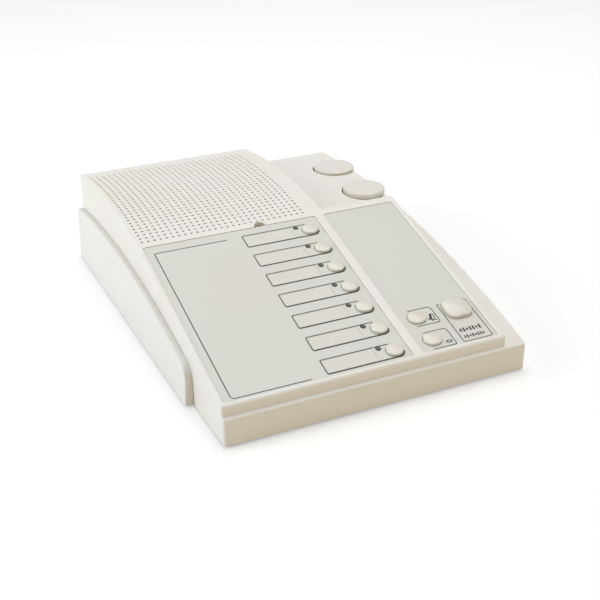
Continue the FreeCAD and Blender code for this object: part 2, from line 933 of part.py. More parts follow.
rim_top = speaker_seat_height - gasket_thickness
rim_bottom = rim_top - basket_rim_thickness
ledge_bottom = rim_bottom - basket_ledge_drop
neck_top = ledge_bottom - basket_depth
neck_bottom = neck_top - basket_wall


def speaker_gasket():
    outer = post(basket_rim_radius, speaker_x, speaker_y, rim_top, speaker_seat_height)
    return outer.cut(post(seat_ring_inner, speaker_x, speaker_y, 0, 2 * speaker_seat_height))


def speaker_basket():
    return turned([
        (basket_rim_radius, rim_top), (basket_step_radius, rim_top), (basket_step_radius, rim_bottom),
        (basket_ledge_inner, rim_bottom), (basket_neck_radius, neck_top), (voice_hole_radius, neck_top),
        (voice_hole_radius, neck_bottom), (basket_neck_radius, neck_bottom),
        (basket_ledge_inner, ledge_bottom), (basket_step_radius, ledge_bottom),
        (basket_step_radius + basket_wall, rim_bottom), (basket_rim_radius, rim_bottom)
    ])


def speaker_cone():
    edge_low = rim_bottom
    edge_high = edge_low + cone_paper
    edge_outer = basket_step_radius - cone_paper / 2
    cap_edge = edge_high - cone_drop
    tube_inner = voice_tube_radius - cone_paper
    return turned([
        (edge_outer, edge_low), (edge_outer, edge_high), (basket_ledge_inner, edge_high),
        (dust_cap_radius, cap_edge), (dust_cap_radius / 2, cap_edge + dust_cap_rise * 3 / 4),
        (0, cap_edge + dust_cap_rise), (0, cap_edge + dust_cap_rise - cone_paper),
        (tube_inner, cap_edge), (tube_inner, cap_edge - voice_tube_length),
        (voice_tube_radius, cap_edge - voice_tube_length), (voice_tube_radius, cap_edge - cone_paper),
        (dust_cap_radius, cap_edge - cone_paper), (basket_ledge_inner, edge_low)
    ])


def speaker_magnet():
    ring_top = neck_bottom - pole_plate_thickness
    ring_bottom = ring_top - magnet_height
    front = post(pole_plate_radius, speaker_x, speaker_y, ring_top, neck_bottom)
    ring = post(magnet_radius, speaker_x, speaker_y, ring_bottom, ring_top)
    back = post(pole_plate_radius, speaker_x, speaker_y, ring_bottom - pole_plate_thickness, ring_bottom)
    return join([front, ring, back])


def speaker_clips():
    solids = []
    inner = basket_rim_radius - clip_overlap
    outer = inner + clip_length
    half = clip_width / 2
    for angle in clip_places:
        clip = box(Vector(inner, -half, rim_bottom - clip_thickness), Vector(outer, half, rim_bottom))
        clip = clip.cut(post(board_screw_radius + fit_gap / 2, clip_post_circle, 0, 0, speaker_seat_height))
        clip.rotate(Vector(0, 0, 0), Vector(0, 0, 1), angle)
        clip.translate(Vector(speaker_x, speaker_y, 0))
        solids.append(clip)
    return solids


def speaker_clip_screws():
    solids = []
    for angle in clip_places:
        x, y = clip_centre(angle)
        solids.append(board_screw(x, y, rim_bottom - clip_thickness, clip_screw_length, True))
    return solids


# Knobs and potentiometers
def knob(x, y):
    disc = post(knob_radius, x, y, knob_bottom_height, knob_top_height)
    disc = disc.common(Part.makeSphere(knob_crown_radius, Vector(x, y, knob_top_height - knob_crown_radius)))
    level_rims = [e for e in disc.Edges if e.BoundBox.ZLength < same]
    top_rim = [e for e in level_rims if e.BoundBox.ZMin > knob_bottom_height + same]
    disc = disc.makeFillet(knob_top_round, top_rim)
    bottom_rim = [e for e in disc.Edges if e.BoundBox.ZMax < knob_bottom_height + same]
    disc = disc.makeFillet(knob_bottom_round, bottom_rim)
    cavity_top = knob_bottom_height + knob_cavity_depth
    cavity = post(knob_cavity_radius, x, y, knob_bottom_height - overshoot, cavity_top)
    bore = post(shaft_radius + shaft_gap / 2, x, y, knob_bottom_height, cavity_top + shaft_engagement)
    return disc.cut(cavity).cut(bore)


def pot_body(x, y):
    top = pocket_under_height
    can = post(pot_radius, x, y, top - pot_height, top)
    bushing = post(bushing_radius, x, y, top - pot_floor, pocket_floor_height + nut_height + shaft_gap)
    tab_low = top - pot_height
    tab = box(
        Vector(x - pot_radius - pot_tab_length, y - pot_tab_width / 2, tab_low),
        Vector(x, y + pot_tab_width / 2, tab_low + pot_tab_thickness)
    )
    bore = post(shaft_radius + shaft_gap, x, y, top - pot_height + pot_floor, knob_top_height)
    return join([can, bushing, tab]).cut(bore)


def pot_shaft(x, y):
    low = pocket_under_height - pot_height + pot_floor + shaft_gap
    high = knob_bottom_height + knob_cavity_depth + shaft_engagement - shaft_gap
    return post(shaft_radius, x, y, low, high)


def pot_nuts():
    solids = []
    corner_radius = nut_across_flats / math.cos(math.radians(30)) / 2
    for x, y in knob_places():
        corners = []
        for angle in range(0, 361, 60):
            turn = math.radians(angle)
            corner = Vector(corner_radius * math.cos(turn), corner_radius * math.sin(turn), 0)
            corners.append(corner.add(Vector(x, y, pocket_floor_height)))
        nut = Part.Face(Part.makePolygon(corners)).extrude(Vector(0, 0, nut_height))
        solids.append(nut.cut(post(bushing_radius + nut_gap, x, y, 0, knob_top_height)))
    return solids


# Main board and the parts on it
main_board_low = base_floor + main_board_post_height
main_board_top = main_board_low + board_thickness


def main_board_post_places():
    columns = (main_board_low_x + main_board_post_inset, main_board_high_x - main_board_post_inset)
    rows = (main_board_front_y + main_board_post_inset, main_board_rear_y - main_board_post_inset)
    return [(x, y) for x in columns for y in rows]


def main_board():
    plate = box(
        Vector(main_board_low_x, main_board_front_y, main_board_low),
        Vector(main_board_high_x, main_board_rear_y, main_board_top)
    )
    radius = board_screw_radius + fit_gap / 2
    holes = [post(radius, x, y, 0, 2 * main_board_top) for x, y in main_board_post_places()]
    return plate.cut(Part.makeCompound(holes))


def main_board_screws():
    return [board_screw(x, y, main_board_top, board_screw_length, False) for x, y in main_board_post_places()]


def chips():
    solids = []
    for x, y in chip_places:
        body = box(
            Vector(x - chip_length / 2, y - chip_width / 2, main_board_top),
            Vector(x + chip_length / 2, y + chip_width / 2, main_board_top + chip_height)
        )
        solids.append(body)
    return solids


def capacitors():
    return [post(can_radius, x, y, main_board_top, main_board_top + can_height) for x, y in can_places]


def transformer():
    x, y = transformer_place
    half = Vector(transformer_core_x / 2, transformer_core_y / 2, 0)
    core_low = Vector(x, y, main_board_top)
    core_high = Vector(x, y, main_board_top + transformer_core_height)
    core = box(core_low.sub(half), core_high.add(half))
    middle = main_board_top + transformer_core_height / 2
    bobbin_y = transformer_core_y / 2 + bobbin_bulge
    bobbin = box(
        Vector(x - bobbin_width / 2, y - bobbin_y, middle - bobbin_height / 2),
        Vector(x + bobbin_width / 2, y + bobbin_y, middle + bobbin_height / 2)
    )
    return join([core, bobbin])


def terminal_centres():
    return [terminal_low_x + (i + 0.5) * terminal_pitch for i in range(terminal_ways)]


def terminal_block():
    top = main_board_top + terminal_height
    body = box(
        Vector(terminal_low_x, terminal_rear_y - terminal_depth, main_board_top),
        Vector(terminal_low_x + terminal_ways * terminal_pitch, terminal_rear_y, top)
    )
    cuts = []
    well_low = top - terminal_screw_length - terminal_screw_sink
    well_y = terminal_rear_y - terminal_depth / 2
    mouth_low_y = terminal_rear_y - terminal_mouth_depth
    mouth_z = main_board_top + terminal_mouth_height
    for x in terminal_centres():
        well = post(terminal_screw_radius + thread_gap, x, well_y, well_low, top + overshoot)
        mouth_end = Vector(x, terminal_rear_y + overshoot, mouth_z)
        mouth = round_bar(terminal_mouth_radius, Vector(x, mouth_low_y, mouth_z), mouth_end)
        cuts += [well, mouth]
    return body.cut(Part.makeCompound(cuts))


def terminal_screws():
    solids = []
    high = main_board_top + terminal_height - terminal_screw_sink
    y = terminal_rear_y - terminal_depth / 2
    for x in terminal_centres():
        screw = post(terminal_screw_radius, x, y, high - terminal_screw_length, high)
        slot_low = high - terminal_slot_depth
        slot = slot_cut(x, y, terminal_slot_width, 3 * terminal_screw_radius, slot_low, high + overshoot)
        solids.append(screw.cut(slot))
    return solids


def ribbon_socket():
    x, y = socket_place
    return box(
        Vector(x - socket_length / 2, y - socket_width / 2, main_board_top),
        Vector(x + socket_length / 2, y + socket_width / 2, main_board_top + socket_height)
    )


def bend_edges(points, bend):
    edges = []
    start = points[0]
    for before, corner, after in zip(points, points[1:], points[2:]):
        into = corner.sub(before).normalize()
        out = after.sub(corner).normalize()
        turn = into.getAngle(out)
        setback = bend * math.tan(turn / 2)
        first = corner.sub(into * setback)
        last = corner.add(out * setback)
        inward = out.sub(into).normalize()
        middle = corner.add(inward * (bend / math.cos(turn / 2) - bend))
        edges.append(Part.LineSegment(start, first).toShape())
        edges.append(Part.Arc(first, middle, last).toShape())
        start = last
    edges.append(Part.LineSegment(start, points[-1]).toShape())
    return edges


def ribbon():
    x, y = socket_place
    top = deck_placement.multVec(Vector(0, ribbon_entry_v, key_board_top - board_thickness))
    socket_top = main_board_top + socket_height
    knee = (top.z + socket_top) / 2
    down = deck_placement.Rotation.multVec(Vector(0, 0, -1))
    upper_knee = top.add(down * ((top.z - knee) * 3 / 4))
    points = [top, upper_knee, Vector(0, y, knee), Vector(0, y, socket_top)]
    path = Part.Wire(bend_edges(points, ribbon_bend))
    half = ribbon_width / 2
    side = Vector(0, math.cos(deck_angle), math.sin(deck_angle)) * (ribbon_thickness / 2)
    corners = [top.sub(side), top.add(side)]
    left = Vector(x - half, 0, 0)
    right = Vector(x + half, 0, 0)
    outline = [corners[0] + left, corners[0] + right, corners[1] + right, corners[1] + left]
    section = Part.makePolygon(outline + outline[:1])
    path.translate(Vector(x, 0, 0))
    return path.makePipeShell([section], True, False)


def speaker_leads():
    solids = []
    start_height = rim_bottom - clip_thickness
    for side in (-1, 1):
        x = speaker_x + side * lead_spacing / 2
        start_y = speaker_y + basket_step_radius + basket_wall + 2 * lead_radius
        points = [
            Vector(x, start_y, rim_bottom), Vector(x, start_y, start_height - lead_reach),
            Vector(x, lead_post_y + lead_reach, main_board_top + 2 * lead_reach),
            Vector(x, lead_post_y + lead_reach, main_board_top)
        ]
        path = Part.Wire(bend_edges(points, lead_bend))
        section = Part.Wire(Part.makeCircle(lead_radius, points[0], Vector(0, 0, -1)))
        solids.append(path.makePipeShell([section], True, False))
    return solids


def inlet_grommet():
    inner_high = cover_depth - inlet_pad_depth - inlet_gap
    inner_low = inner_high - inlet_flange_thickness
    outer = inlet_bar(inlet_flange_radius, cover_depth - inlet_flange_thickness, cover_depth)
    inner = inlet_bar(inlet_flange_radius, inner_low, inner_high)
    sleeve = inlet_bar(inlet_bore + inlet_sleeve_wall, inner_low, cover_depth)
    bore = inlet_bar(inlet_bore, inner_low - overshoot, cover_depth + overshoot)
    return join([outer, inner, sleeve]).cut(bore)


def build():
    os.makedirs("parts", exist_ok=True)
    keys = key_set()
    write("upper_cover", upper_cover())
    write("base_tray", base_tray())
    write_group("rubber_feet", rubber_feet())
    write_group("case_screws", case_screws())
    write("left_fascia", left_fascia())
    write("right_fascia", right_fascia())
    write_group("name_strips", name_strips())
    for name, key in keys.items():
        write(name, key_cap(key))
        write(name + "_plunger", key_plunger(key))
    write_group("call_switches", [switch_body(keys[k]) for k in keys if k.startswith("call")])
    write_group("function_switches", [switch_body(keys[k]) for k in keys if not k.startswith("call")])
    write_group("call_lamps", call_lamps())
    write("key_board", key_board())
    write_group("key_board_screws", key_board_screws())
    write("microphone_capsule", microphone_capsule())
    write("microphone_grommet", microphone_grommet())
    write("speaker_gasket", speaker_gasket())
    write("speaker_basket", speaker_basket())
    write("speaker_cone", speaker_cone())
    write("speaker_magnet", speaker_magnet())
    write_group("speaker_clips", speaker_clips())
    write_group("speaker_clip_screws", speaker_clip_screws())
    for name, place in zip(("front", "rear"), knob_places()):
        write(name + "_knob", knob(*place))
        write(name + "_pot_shaft", pot_shaft(*place))
        write(name + "_pot_body", pot_body(*place))
    write_group("pot_nuts", pot_nuts())
    write("main_board", main_board())
    write_group("main_board_screws", main_board_screws())
    write_group("chips", chips())
    write_group("capacitors", capacitors())
    write("transformer", transformer())
    write("terminal_block", terminal_block())
    write_group("terminal_screws", terminal_screws())
    write("ribbon_socket", ribbon_socket())
    write("ribbon", ribbon())
    write_group("speaker_leads", speaker_leads())
    write("inlet_grommet", inlet_grommet())


build()
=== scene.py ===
"""Vintage desk intercom: its finishes, the printing on its plates, and the studio that shows it."""

import json
import logging
import math
from dataclasses import dataclass, field
from enum import Enum

import bmesh
import bpy
from mathutils import Matrix, Vector


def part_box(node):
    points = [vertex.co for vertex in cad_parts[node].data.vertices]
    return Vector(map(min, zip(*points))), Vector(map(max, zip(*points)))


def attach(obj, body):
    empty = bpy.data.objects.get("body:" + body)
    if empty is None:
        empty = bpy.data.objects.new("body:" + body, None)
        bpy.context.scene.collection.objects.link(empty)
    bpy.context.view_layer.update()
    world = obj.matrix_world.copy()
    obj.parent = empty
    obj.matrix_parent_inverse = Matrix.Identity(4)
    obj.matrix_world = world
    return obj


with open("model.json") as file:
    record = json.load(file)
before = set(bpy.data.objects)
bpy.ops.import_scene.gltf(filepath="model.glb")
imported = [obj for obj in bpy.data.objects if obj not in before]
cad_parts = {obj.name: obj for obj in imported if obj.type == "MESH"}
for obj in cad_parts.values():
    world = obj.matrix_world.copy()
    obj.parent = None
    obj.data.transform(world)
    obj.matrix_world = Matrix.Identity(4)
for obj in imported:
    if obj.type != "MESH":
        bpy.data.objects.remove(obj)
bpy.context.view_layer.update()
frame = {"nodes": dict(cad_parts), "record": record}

log = logging.getLogger("intercom")

Triple = tuple[float, float, float]
Colour = Triple
Stretch = Triple
Direction = Triple
Place = Triple
Radii = tuple[float, float, float, float]
Socket = bpy.types.NodeSocket

MM = 0.001
STILL_BODY = "case"

# A paint card's steps aren't even in light: up to the knee they rise in a line, past it by a power
CARD_STEPS = 255
CARD_KNEE = 0.04045
CARD_SLOPE = 12.92
CARD_OFFSET = 0.055
CARD_POWER = 2.4

# Each further pattern of a finish lies further along by the first two of these metres, all at the third
PATTERN_SHIFT = (0.37, -0.21, 0.13)

# The values between which nearly all of a noise keeps
NOISE_LOW = 0.3
NOISE_HIGH = 0.7

# How many rays feel out a corner
CORNER_SAMPLES = 6

# A mix has sockets of one name for each kind of value, so those for colours are taken by their place
MIX_COVER = 0
MIX_UNDER = 6
MIX_OVER = 7
MIX_RESULT = 2

# How many widths of its line a gap reaches past the outside of a printed box
PAST_LINE = 2


def shade(red: int, green: int, blue: int) -> Colour:
    """Turns a colour as a paint card gives it into the linear values that a shader takes.

    Args:
        red: Red from 0 to 255.
        green: Green from 0 to 255.
        blue: Blue from 0 to 255.

    Returns:
        The three linear values from 0 to 1.
    """
    parts = (value / CARD_STEPS for value in (red, green, blue))
    return tuple(
        part / CARD_SLOPE if part <= CARD_KNEE else ((part + CARD_OFFSET) / (1.0 + CARD_OFFSET)) ** CARD_POWER
        for part in parts
    )


# Steps that finishes are made of


@dataclass(frozen=True)
class Clouds:
    """A cloudy pattern, with the values of its noise between which it goes from nothing to full."""

    size: float
    detail: float
    low: float = NOISE_LOW
    high: float = NOISE_HIGH
    stretch: Stretch = (1.0, 1.0, 1.0)


@dataclass(frozen=True)
class Relief:
    """A bumpy surface: how far apart its bumps are and how high they rise, in metres."""

    size: float
    depth: float
    detail: float = 2.0


@dataclass(frozen=True)
class Corners:
    """Tight corners and gaps: how near another surface is, and how open a tight and a clear spot are."""

    reach: float
    tight: float
    clear: float


class Recipe:
    """The node tree of one finish, with plain names for the steps that the finishes share."""

    def __init__(self, name: str) -> None:
        """Starts an empty finish.

        Args:
            name: The finish's name in plain words.
        """
        self.material = bpy.data.materials.new(name)
        self.material.use_nodes = True
        self.tree = self.material.node_tree
        self.tree.nodes.clear()
        self.shader = self.node("ShaderNodeBsdfPrincipled")
        output = self.node("ShaderNodeOutputMaterial")
        self.link(self.shader.outputs["BSDF"], output.inputs["Surface"])
        coordinates = self.node("ShaderNodeTexCoord")
        self.place = coordinates.outputs["Object"]
        self.facing = coordinates.outputs["Normal"]
        self.relief: Socket | None = None
        self.shifts = 0

    def node(self, kind: str) -> bpy.types.Node:
        """Adds one node of the kind that is named."""
        return self.tree.nodes.new(kind)

    def link(self, start: Socket, end: Socket) -> None:
        """Joins an output to an input."""
        self.tree.links.new(start, end)

    def fix(self, **values: float | Colour) -> None:
        """Sets the shader's own sockets.

        Args:
            **values: Each socket's value, under its name with underscores for spaces.
        """
        for name, value in values.items():
            socket = self.shader.inputs[name.replace("_", " ")]
            socket.default_value = (*value, 1.0) if isinstance(value, tuple) else value

    def shifted(self, stretch: Stretch = (1.0, 1.0, 1.0)) -> Socket:
        """Gives each pattern its own stretch of space, so that no two patterns run together.

        Args:
            stretch: How much finer the pattern is along each axis.

        Returns:
            The coordinates that the pattern reads.
        """
        self.shifts += 1
        aside, along, up = PATTERN_SHIFT
        mapping = self.node("ShaderNodeMapping")
        mapping.inputs["Location"].default_value = (aside * self.shifts, along * self.shifts, up)
        mapping.inputs["Scale"].default_value = stretch
        self.link(self.place, mapping.inputs["Vector"])
        return mapping.outputs["Vector"]

    def noise(self, size: float, detail: float = 2.0, stretch: Stretch = (1.0, 1.0, 1.0)) -> Socket:
        """Makes a cloudy noise.

        Args:
            size: How far apart the clouds are, in metres.
            detail: How many finer layers it has.
            stretch: How much finer it is along each axis.

        Returns:
            A value around a half.
        """
        texture = self.node("ShaderNodeTexNoise")
        texture.inputs["Scale"].default_value = 1.0 / size
        texture.inputs["Detail"].default_value = detail
        self.link(self.shifted(stretch), texture.inputs["Vector"])
        return texture.outputs["Fac"]

    def cells(self, size: float) -> Socket:
        """Makes a pattern of small cells.

        Args:
            size: How far apart the cells are, in metres.

        Returns:
            A value that is low at the middle of each cell.
        """
        texture = self.node("ShaderNodeTexVoronoi")
        texture.inputs["Scale"].default_value = 1.0 / size
        self.link(self.shifted(), texture.inputs["Vector"])
        return texture.outputs["Distance"]

    def levels(self, value: Socket, low: float, high: float, start: float = 0.0, end: float = 1.0) -> Socket:
        """Lays a range of values over another range, and holds it there.

        Args:
            value: The value.
            low: Where the range begins.
            high: Where it ends.
            start: What low becomes.
            end: What high becomes.

        Returns:
            The new value.
        """
        ramp = self.node("ShaderNodeMapRange")
        for name, number in (("From Min", low), ("From Max", high), ("To Min", start), ("To Max", end)):
            ramp.inputs[name].default_value = number
        self.link(value, ramp.inputs["Value"])
        return ramp.outputs["Result"]

    def clouds(self, pattern: Clouds, most: float = 1.0, least: float = 0.0) -> Socket:
        """Makes a cloudy pattern.

        Args:
            pattern: The pattern.
            most: What it counts for at its fullest.
            least: What it counts for between its clouds.

        Returns:
            The pattern's value.
        """
        value = self.noise(pattern.size, pattern.detail, pattern.stretch)
        return self.levels(value, pattern.low, pattern.high, least, most)

    def share(self, value: Socket, most: float) -> Socket:
        """Weakens a value so that it counts for no more than a share."""
        return self.levels(value, 0.0, 1.0, 0.0, most)

    def spread(self, value: Socket, smooth: float, rough: float) -> Socket:
        """Spreads a roughness over what a noise keeps to."""
        return self.levels(value, NOISE_LOW, NOISE_HIGH, smooth, rough)

    def times(self, first: Socket, second: Socket) -> Socket:
        """Multiplies two values.

        Args:
            first: One value.
            second: The other value.

        Returns:
            The product.
        """
        product = self.node("ShaderNodeMath")
        product.operation = "MULTIPLY"
        self.link(first, product.inputs[0])
        self.link(second, product.inputs[1])
        return product.outputs[0]

    def towards(self, direction: Direction, low: float, high: float) -> Socket:
        """Finds how far a surface faces one way of the object.

        Args:
            direction: The way.
            low: How far it has to face that way to count at all.
            high: How far it has to face that way to count in full.

        Returns:
            A value from 0 to 1.
        """
        dot = self.node("ShaderNodeVectorMath")
        dot.operation = "DOT_PRODUCT"
        dot.inputs[1].default_value = direction
        self.link(self.facing, dot.inputs[0])
        return self.levels(dot.outputs["Value"], low, high)

    def crevice(self, corners: Corners) -> Socket:
        """Finds tight corners and gaps.

        Args:
            corners: Which corners count.

        Returns:
            How sheltered a spot is: 1 in a tight corner or a gap, 0 on an open surface.
        """
        shelter = self.node("ShaderNodeAmbientOcclusion")
        shelter.samples = CORNER_SAMPLES
        shelter.inputs["Distance"].default_value = corners.reach
        return self.levels(shelter.outputs["AO"], corners.tight, corners.clear, 1.0, 0.0)

    def tint(self, base: Socket | Colour, over: Colour, cover: Socket) -> Socket:
        """Lays a colour over another.

        Args:
            base: The colour below.
            over: The colour on top.
            cover: How far the top one covers, from 0 to 1.

        Returns:
            The mixed colour.
        """
        mix = self.node("ShaderNodeMix")
        mix.data_type = "RGBA"
        self.link(cover, mix.inputs[MIX_COVER])
        if isinstance(base, tuple):
            mix.inputs[MIX_UNDER].default_value = (*base, 1.0)
        else:
            self.link(base, mix.inputs[MIX_UNDER])
        mix.inputs[MIX_OVER].default_value = (*over, 1.0)
        return mix.outputs[MIX_RESULT]

    def emboss(self, height: Socket, depth: float) -> None:
        """Raises the surface by a pattern, over what has been raised so far.

        Args:
            height: The pattern, from 0 to 1.
            depth: What 1 stands for, in metres.
        """
        bump = self.node("ShaderNodeBump")
        bump.inputs["Strength"].default_value = 1.0
        bump.inputs["Distance"].default_value = depth
        self.link(height, bump.inputs["Height"])
        if self.relief is not None:
            self.link(self.relief, bump.inputs["Normal"])
        self.relief = bump.outputs["Normal"]

    def roughen(self, relief: Relief) -> None:
        """Raises the surface by a relief."""
        self.emboss(self.noise(relief.size, relief.detail), relief.depth)

    def finished(self, colour: Socket, roughness: Socket | None = None) -> bpy.types.Material:
        """Joins the patterns to the shader.

        Args:
            colour: The surface's colour.
            roughness: The surface's roughness, where it isn't even.

        Returns:
            The finish.
        """
        self.link(colour, self.shader.inputs["Base Color"])
        if roughness is not None:
            self.link(roughness, self.shader.inputs["Roughness"])
        if self.relief is not None:
            self.link(self.relief, self.shader.inputs["Normal"])
        return self.material


# Finishes


class Grain(Enum):
    """How the wall of a mould was finished."""

    SPARKED = Relief(size=0.00055, depth=0.000016)
    SATIN = Relief(size=0.00035, depth=0.000007)
    POLISHED = Relief(size=0.0014, depth=0.000003)


@dataclass(frozen=True)
class MouldedPlastic:
    """Moulded plastic: its mould's grain, flow marks, yellowing, specks and rubbed patches, with painted
    shade on its front faces (partly yellowing) and in its corners and gaps (partly soil).
    """

    name: str
    colour: Colour
    # The colour of the yellowed patches, and of the painted shade on front faces
    aged_and_shaded: Colour
    # The colour of the specks, and of the painted shade in corners and gaps
    grime_and_shade: Colour
    roughness: float = 0.42
    grain: Grain = Grain.SPARKED
    yellowing: float = 0.35
    # How strongly corners and gaps are darkened: painted shade, partly soil
    corner_shade_and_dirt: float = 0.35
    coat: float = 0.0
    patches: Clouds = Clouds(size=0.045, detail=3.0, low=0.35, high=0.7)
    # Painted shade on faces that look to the front, partly yellowing too: their way, where it starts, where
    # it is full, and its share
    front: Direction = (0.0, -1.0, -0.15)
    front_starts: float = 0.45
    front_full: float = 0.95
    front_share: float = 0.85
    specks: Clouds = Clouds(size=0.0016, detail=3.0, low=0.62, high=0.78)
    speck_share: float = 0.1
    corners: Corners = Corners(reach=0.0035, tight=0.35, clear=0.92)
    uneven: Clouds = Clouds(size=0.006, detail=4.0, low=0.25, high=0.75)
    uneven_least: float = 0.35
    flow: Relief = Relief(size=0.03, depth=0.00004, detail=1.0)
    rubbed: Clouds = Clouds(size=0.018, detail=4.0)
    smoother: float = 0.06
    rougher: float = 0.08

    def make(self) -> bpy.types.Material:
        """Builds the finish.

        Returns:
            Its material.
        """
        recipe = Recipe(self.name)
        colour = recipe.tint(self.colour, self.aged_and_shaded, recipe.clouds(self.patches, self.yellowing))
        # Painted shade: faces that look to the front take on the yellowed colour, partly yellowing too
        front = recipe.share(recipe.towards(self.front, self.front_starts, self.front_full), self.front_share)
        colour = recipe.tint(colour, self.aged_and_shaded, front)
        colour = recipe.tint(colour, self.grime_and_shade, recipe.clouds(self.specks, self.speck_share))
        # Painted shade in tight corners and gaps, broken up by clouds, partly soil too
        shade_and_dust = recipe.times(recipe.crevice(self.corners), recipe.clouds(self.uneven, least=self.uneven_least))
        colour = recipe.tint(colour, self.grime_and_shade, recipe.share(shade_and_dust, self.corner_shade_and_dirt))
        recipe.roughen(self.flow)
        recipe.roughen(self.grain.value)
        roughness = recipe.clouds(self.rubbed, self.roughness + self.rougher, self.roughness - self.smoother)
        recipe.fix(IOR=1.53, Coat_Weight=self.coat, Coat_Roughness=0.18)
        return recipe.finished(colour, roughness)


@dataclass(frozen=True)
class PlateSheet:
    """Satin plastic sheet: faint clouds of tone, hairline wipes, and painted shade along its edges and in the
    gaps round it, partly soil too.
    """

    name: str
    colour: Colour
    cool: Colour
    warm: Colour
    shade_and_dust: Colour
    cool_clouds: Clouds = Clouds(size=0.05, detail=1.0, low=0.5, high=0.72)
    warm_clouds: Clouds = Clouds(size=0.06, detail=1.0, low=0.5, high=0.72)
    cloud_share: float = 0.55
    edges: Corners = Corners(reach=0.0018, tight=0.4, clear=0.95)
    edge_share: float = 0.2
    wipe_size: float = 0.0012
    wipe_stretch: Stretch = (0.12, 1.0, 1.0)
    wipe_depth: float = 0.000002
    grain: Relief = Relief(size=0.0004, depth=0.000005)
    smooth: float = 0.34
    rough: float = 0.44

    def make(self) -> bpy.types.Material:
        """Builds the finish.

        Returns:
            Its material.
        """
        recipe = Recipe(self.name)
        colour = recipe.tint(self.colour, self.cool, recipe.clouds(self.cool_clouds, self.cloud_share))
        colour = recipe.tint(colour, self.warm, recipe.clouds(self.warm_clouds, self.cloud_share))
        # Painted shade along the plate's edges and in the gaps round it, partly soil too
        colour = recipe.tint(colour, self.shade_and_dust, recipe.share(recipe.crevice(self.edges), self.edge_share))
        wipes = recipe.noise(self.wipe_size, stretch=self.wipe_stretch)
        recipe.roughen(self.grain)
        recipe.emboss(wipes, self.wipe_depth)
        recipe.fix(IOR=1.49)
        return recipe.finished(colour, recipe.spread(wipes, self.smooth, self.rough))


@dataclass(frozen=True)
class PlatedMetal:
    """Plated or drawn metal: brushed streaks, dull spots and tarnish in the corners."""

    name: str
    colour: Colour
    tarnish: Colour
    roughness: float = 0.32
    streaks: Stretch = (1.0, 1.0, 0.08)
    streak_size: float = 0.0006
    streak_detail: float = 3.0
    streak_depth: float = 0.000006
    spots: Clouds = Clouds(size=0.003, detail=4.0, low=0.55, high=0.75)
    spot_share: float = 0.5
    corners: Corners = Corners(reach=0.0015, tight=0.3, clear=0.9)
    smoother: float = 0.08
    rougher: float = 0.14

    def make(self) -> bpy.types.Material:
        """Builds the finish.

        Returns:
            Its material.
        """
        recipe = Recipe(self.name)
        streak = recipe.noise(self.streak_size, self.streak_detail, self.streaks)
        colour = recipe.tint(self.colour, self.tarnish, recipe.clouds(self.spots, self.spot_share))
        colour = recipe.tint(colour, self.tarnish, recipe.crevice(self.corners))
        recipe.emboss(streak, self.streak_depth)
        recipe.fix(Metallic=1.0)
        roughness = recipe.spread(streak, self.roughness - self.smoother, self.roughness + self.rougher)
        return recipe.finished(colour, roughness)


@dataclass(frozen=True)
class SoftRubber:
    """Dull rubber or soft insulation with a pale bloom and a fine grain."""

    name: str
    colour: Colour
    bloom: Colour
    roughness: float = 0.78
    bloomed: Clouds = Clouds(size=0.004, detail=4.0, low=0.45, high=0.75)
    bloom_share: float = 0.45
    grain: Relief = Relief(size=0.0004, depth=0.00002)
    rubbed: Clouds = Clouds(size=0.003, detail=3.0)
    unevenness: float = 0.1

    def make(self) -> bpy.types.Material:
        """Builds the finish.

        Returns:
            Its material.
        """
        recipe = Recipe(self.name)
        colour = recipe.tint(self.colour, self.bloom, recipe.clouds(self.bloomed, self.bloom_share))
        recipe.roughen(self.grain)
        rough, smooth = self.roughness + self.unevenness, self.roughness - self.unevenness
        recipe.fix(IOR=1.5)
        return recipe.finished(colour, recipe.clouds(self.rubbed, rough, smooth))


@dataclass(frozen=True)
class PressedFibre:
    """Card, paper pulp or felt: crossed fibres in two tones."""

    name: str
    colour: Colour
    fleck: Colour
    fibre: float = 0.0005
    depth: float = 0.00003
    detail: float = 3.0
    along: Stretch = (0.15, 1.0, 1.0)
    across: Stretch = (1.0, 0.15, 1.0)
    fleck_low: float = 0.2
    fleck_high: float = 0.4
    fleck_share: float = 0.5
    smooth: float = 0.8
    rough: float = 0.95

    def make(self) -> bpy.types.Material:
        """Builds the finish.

        Returns:
            Its material.
        """
        recipe = Recipe(self.name)
        along = recipe.noise(self.fibre, self.detail, self.along)
        crossed = recipe.times(along, recipe.noise(self.fibre, self.detail, self.across))
        flecks = recipe.levels(crossed, self.fleck_low, self.fleck_high, 0.0, self.fleck_share)
        colour = recipe.tint(self.colour, self.fleck, flecks)
        recipe.emboss(crossed, self.depth)
        recipe.fix(Sheen_Weight=0.15, Sheen_Roughness=0.6)
        return recipe.finished(colour, recipe.spread(along, self.smooth, self.rough))


@dataclass(frozen=True)
class DarkCore:
    """Laminated or sintered iron: thin layers under dull varnish, with paler chips."""

    name: str
    colour: Colour
    chip: Colour
    layers: Stretch = (0.05, 0.05, 1.0)
    layer_size: float = 0.0007
    layer_detail: float = 1.0
    layer_depth: float = 0.00005
    chips: Clouds = Clouds(size=0.0015, detail=4.0, low=0.64, high=0.74)
    chip_share: float = 0.8
    smooth: float = 0.45
    rough: float = 0.7

    def make(self) -> bpy.types.Material:
        """Builds the finish.

        Returns:
            Its material.
        """
        recipe = Recipe(self.name)
        layer = recipe.noise(self.layer_size, self.layer_detail, self.layers)
        colour = recipe.tint(self.colour, self.chip, recipe.clouds(self.chips, self.chip_share))
        recipe.emboss(layer, self.layer_depth)
        recipe.fix(Metallic=0.4)
        return recipe.finished(colour, recipe.spread(layer, self.smooth, self.rough))


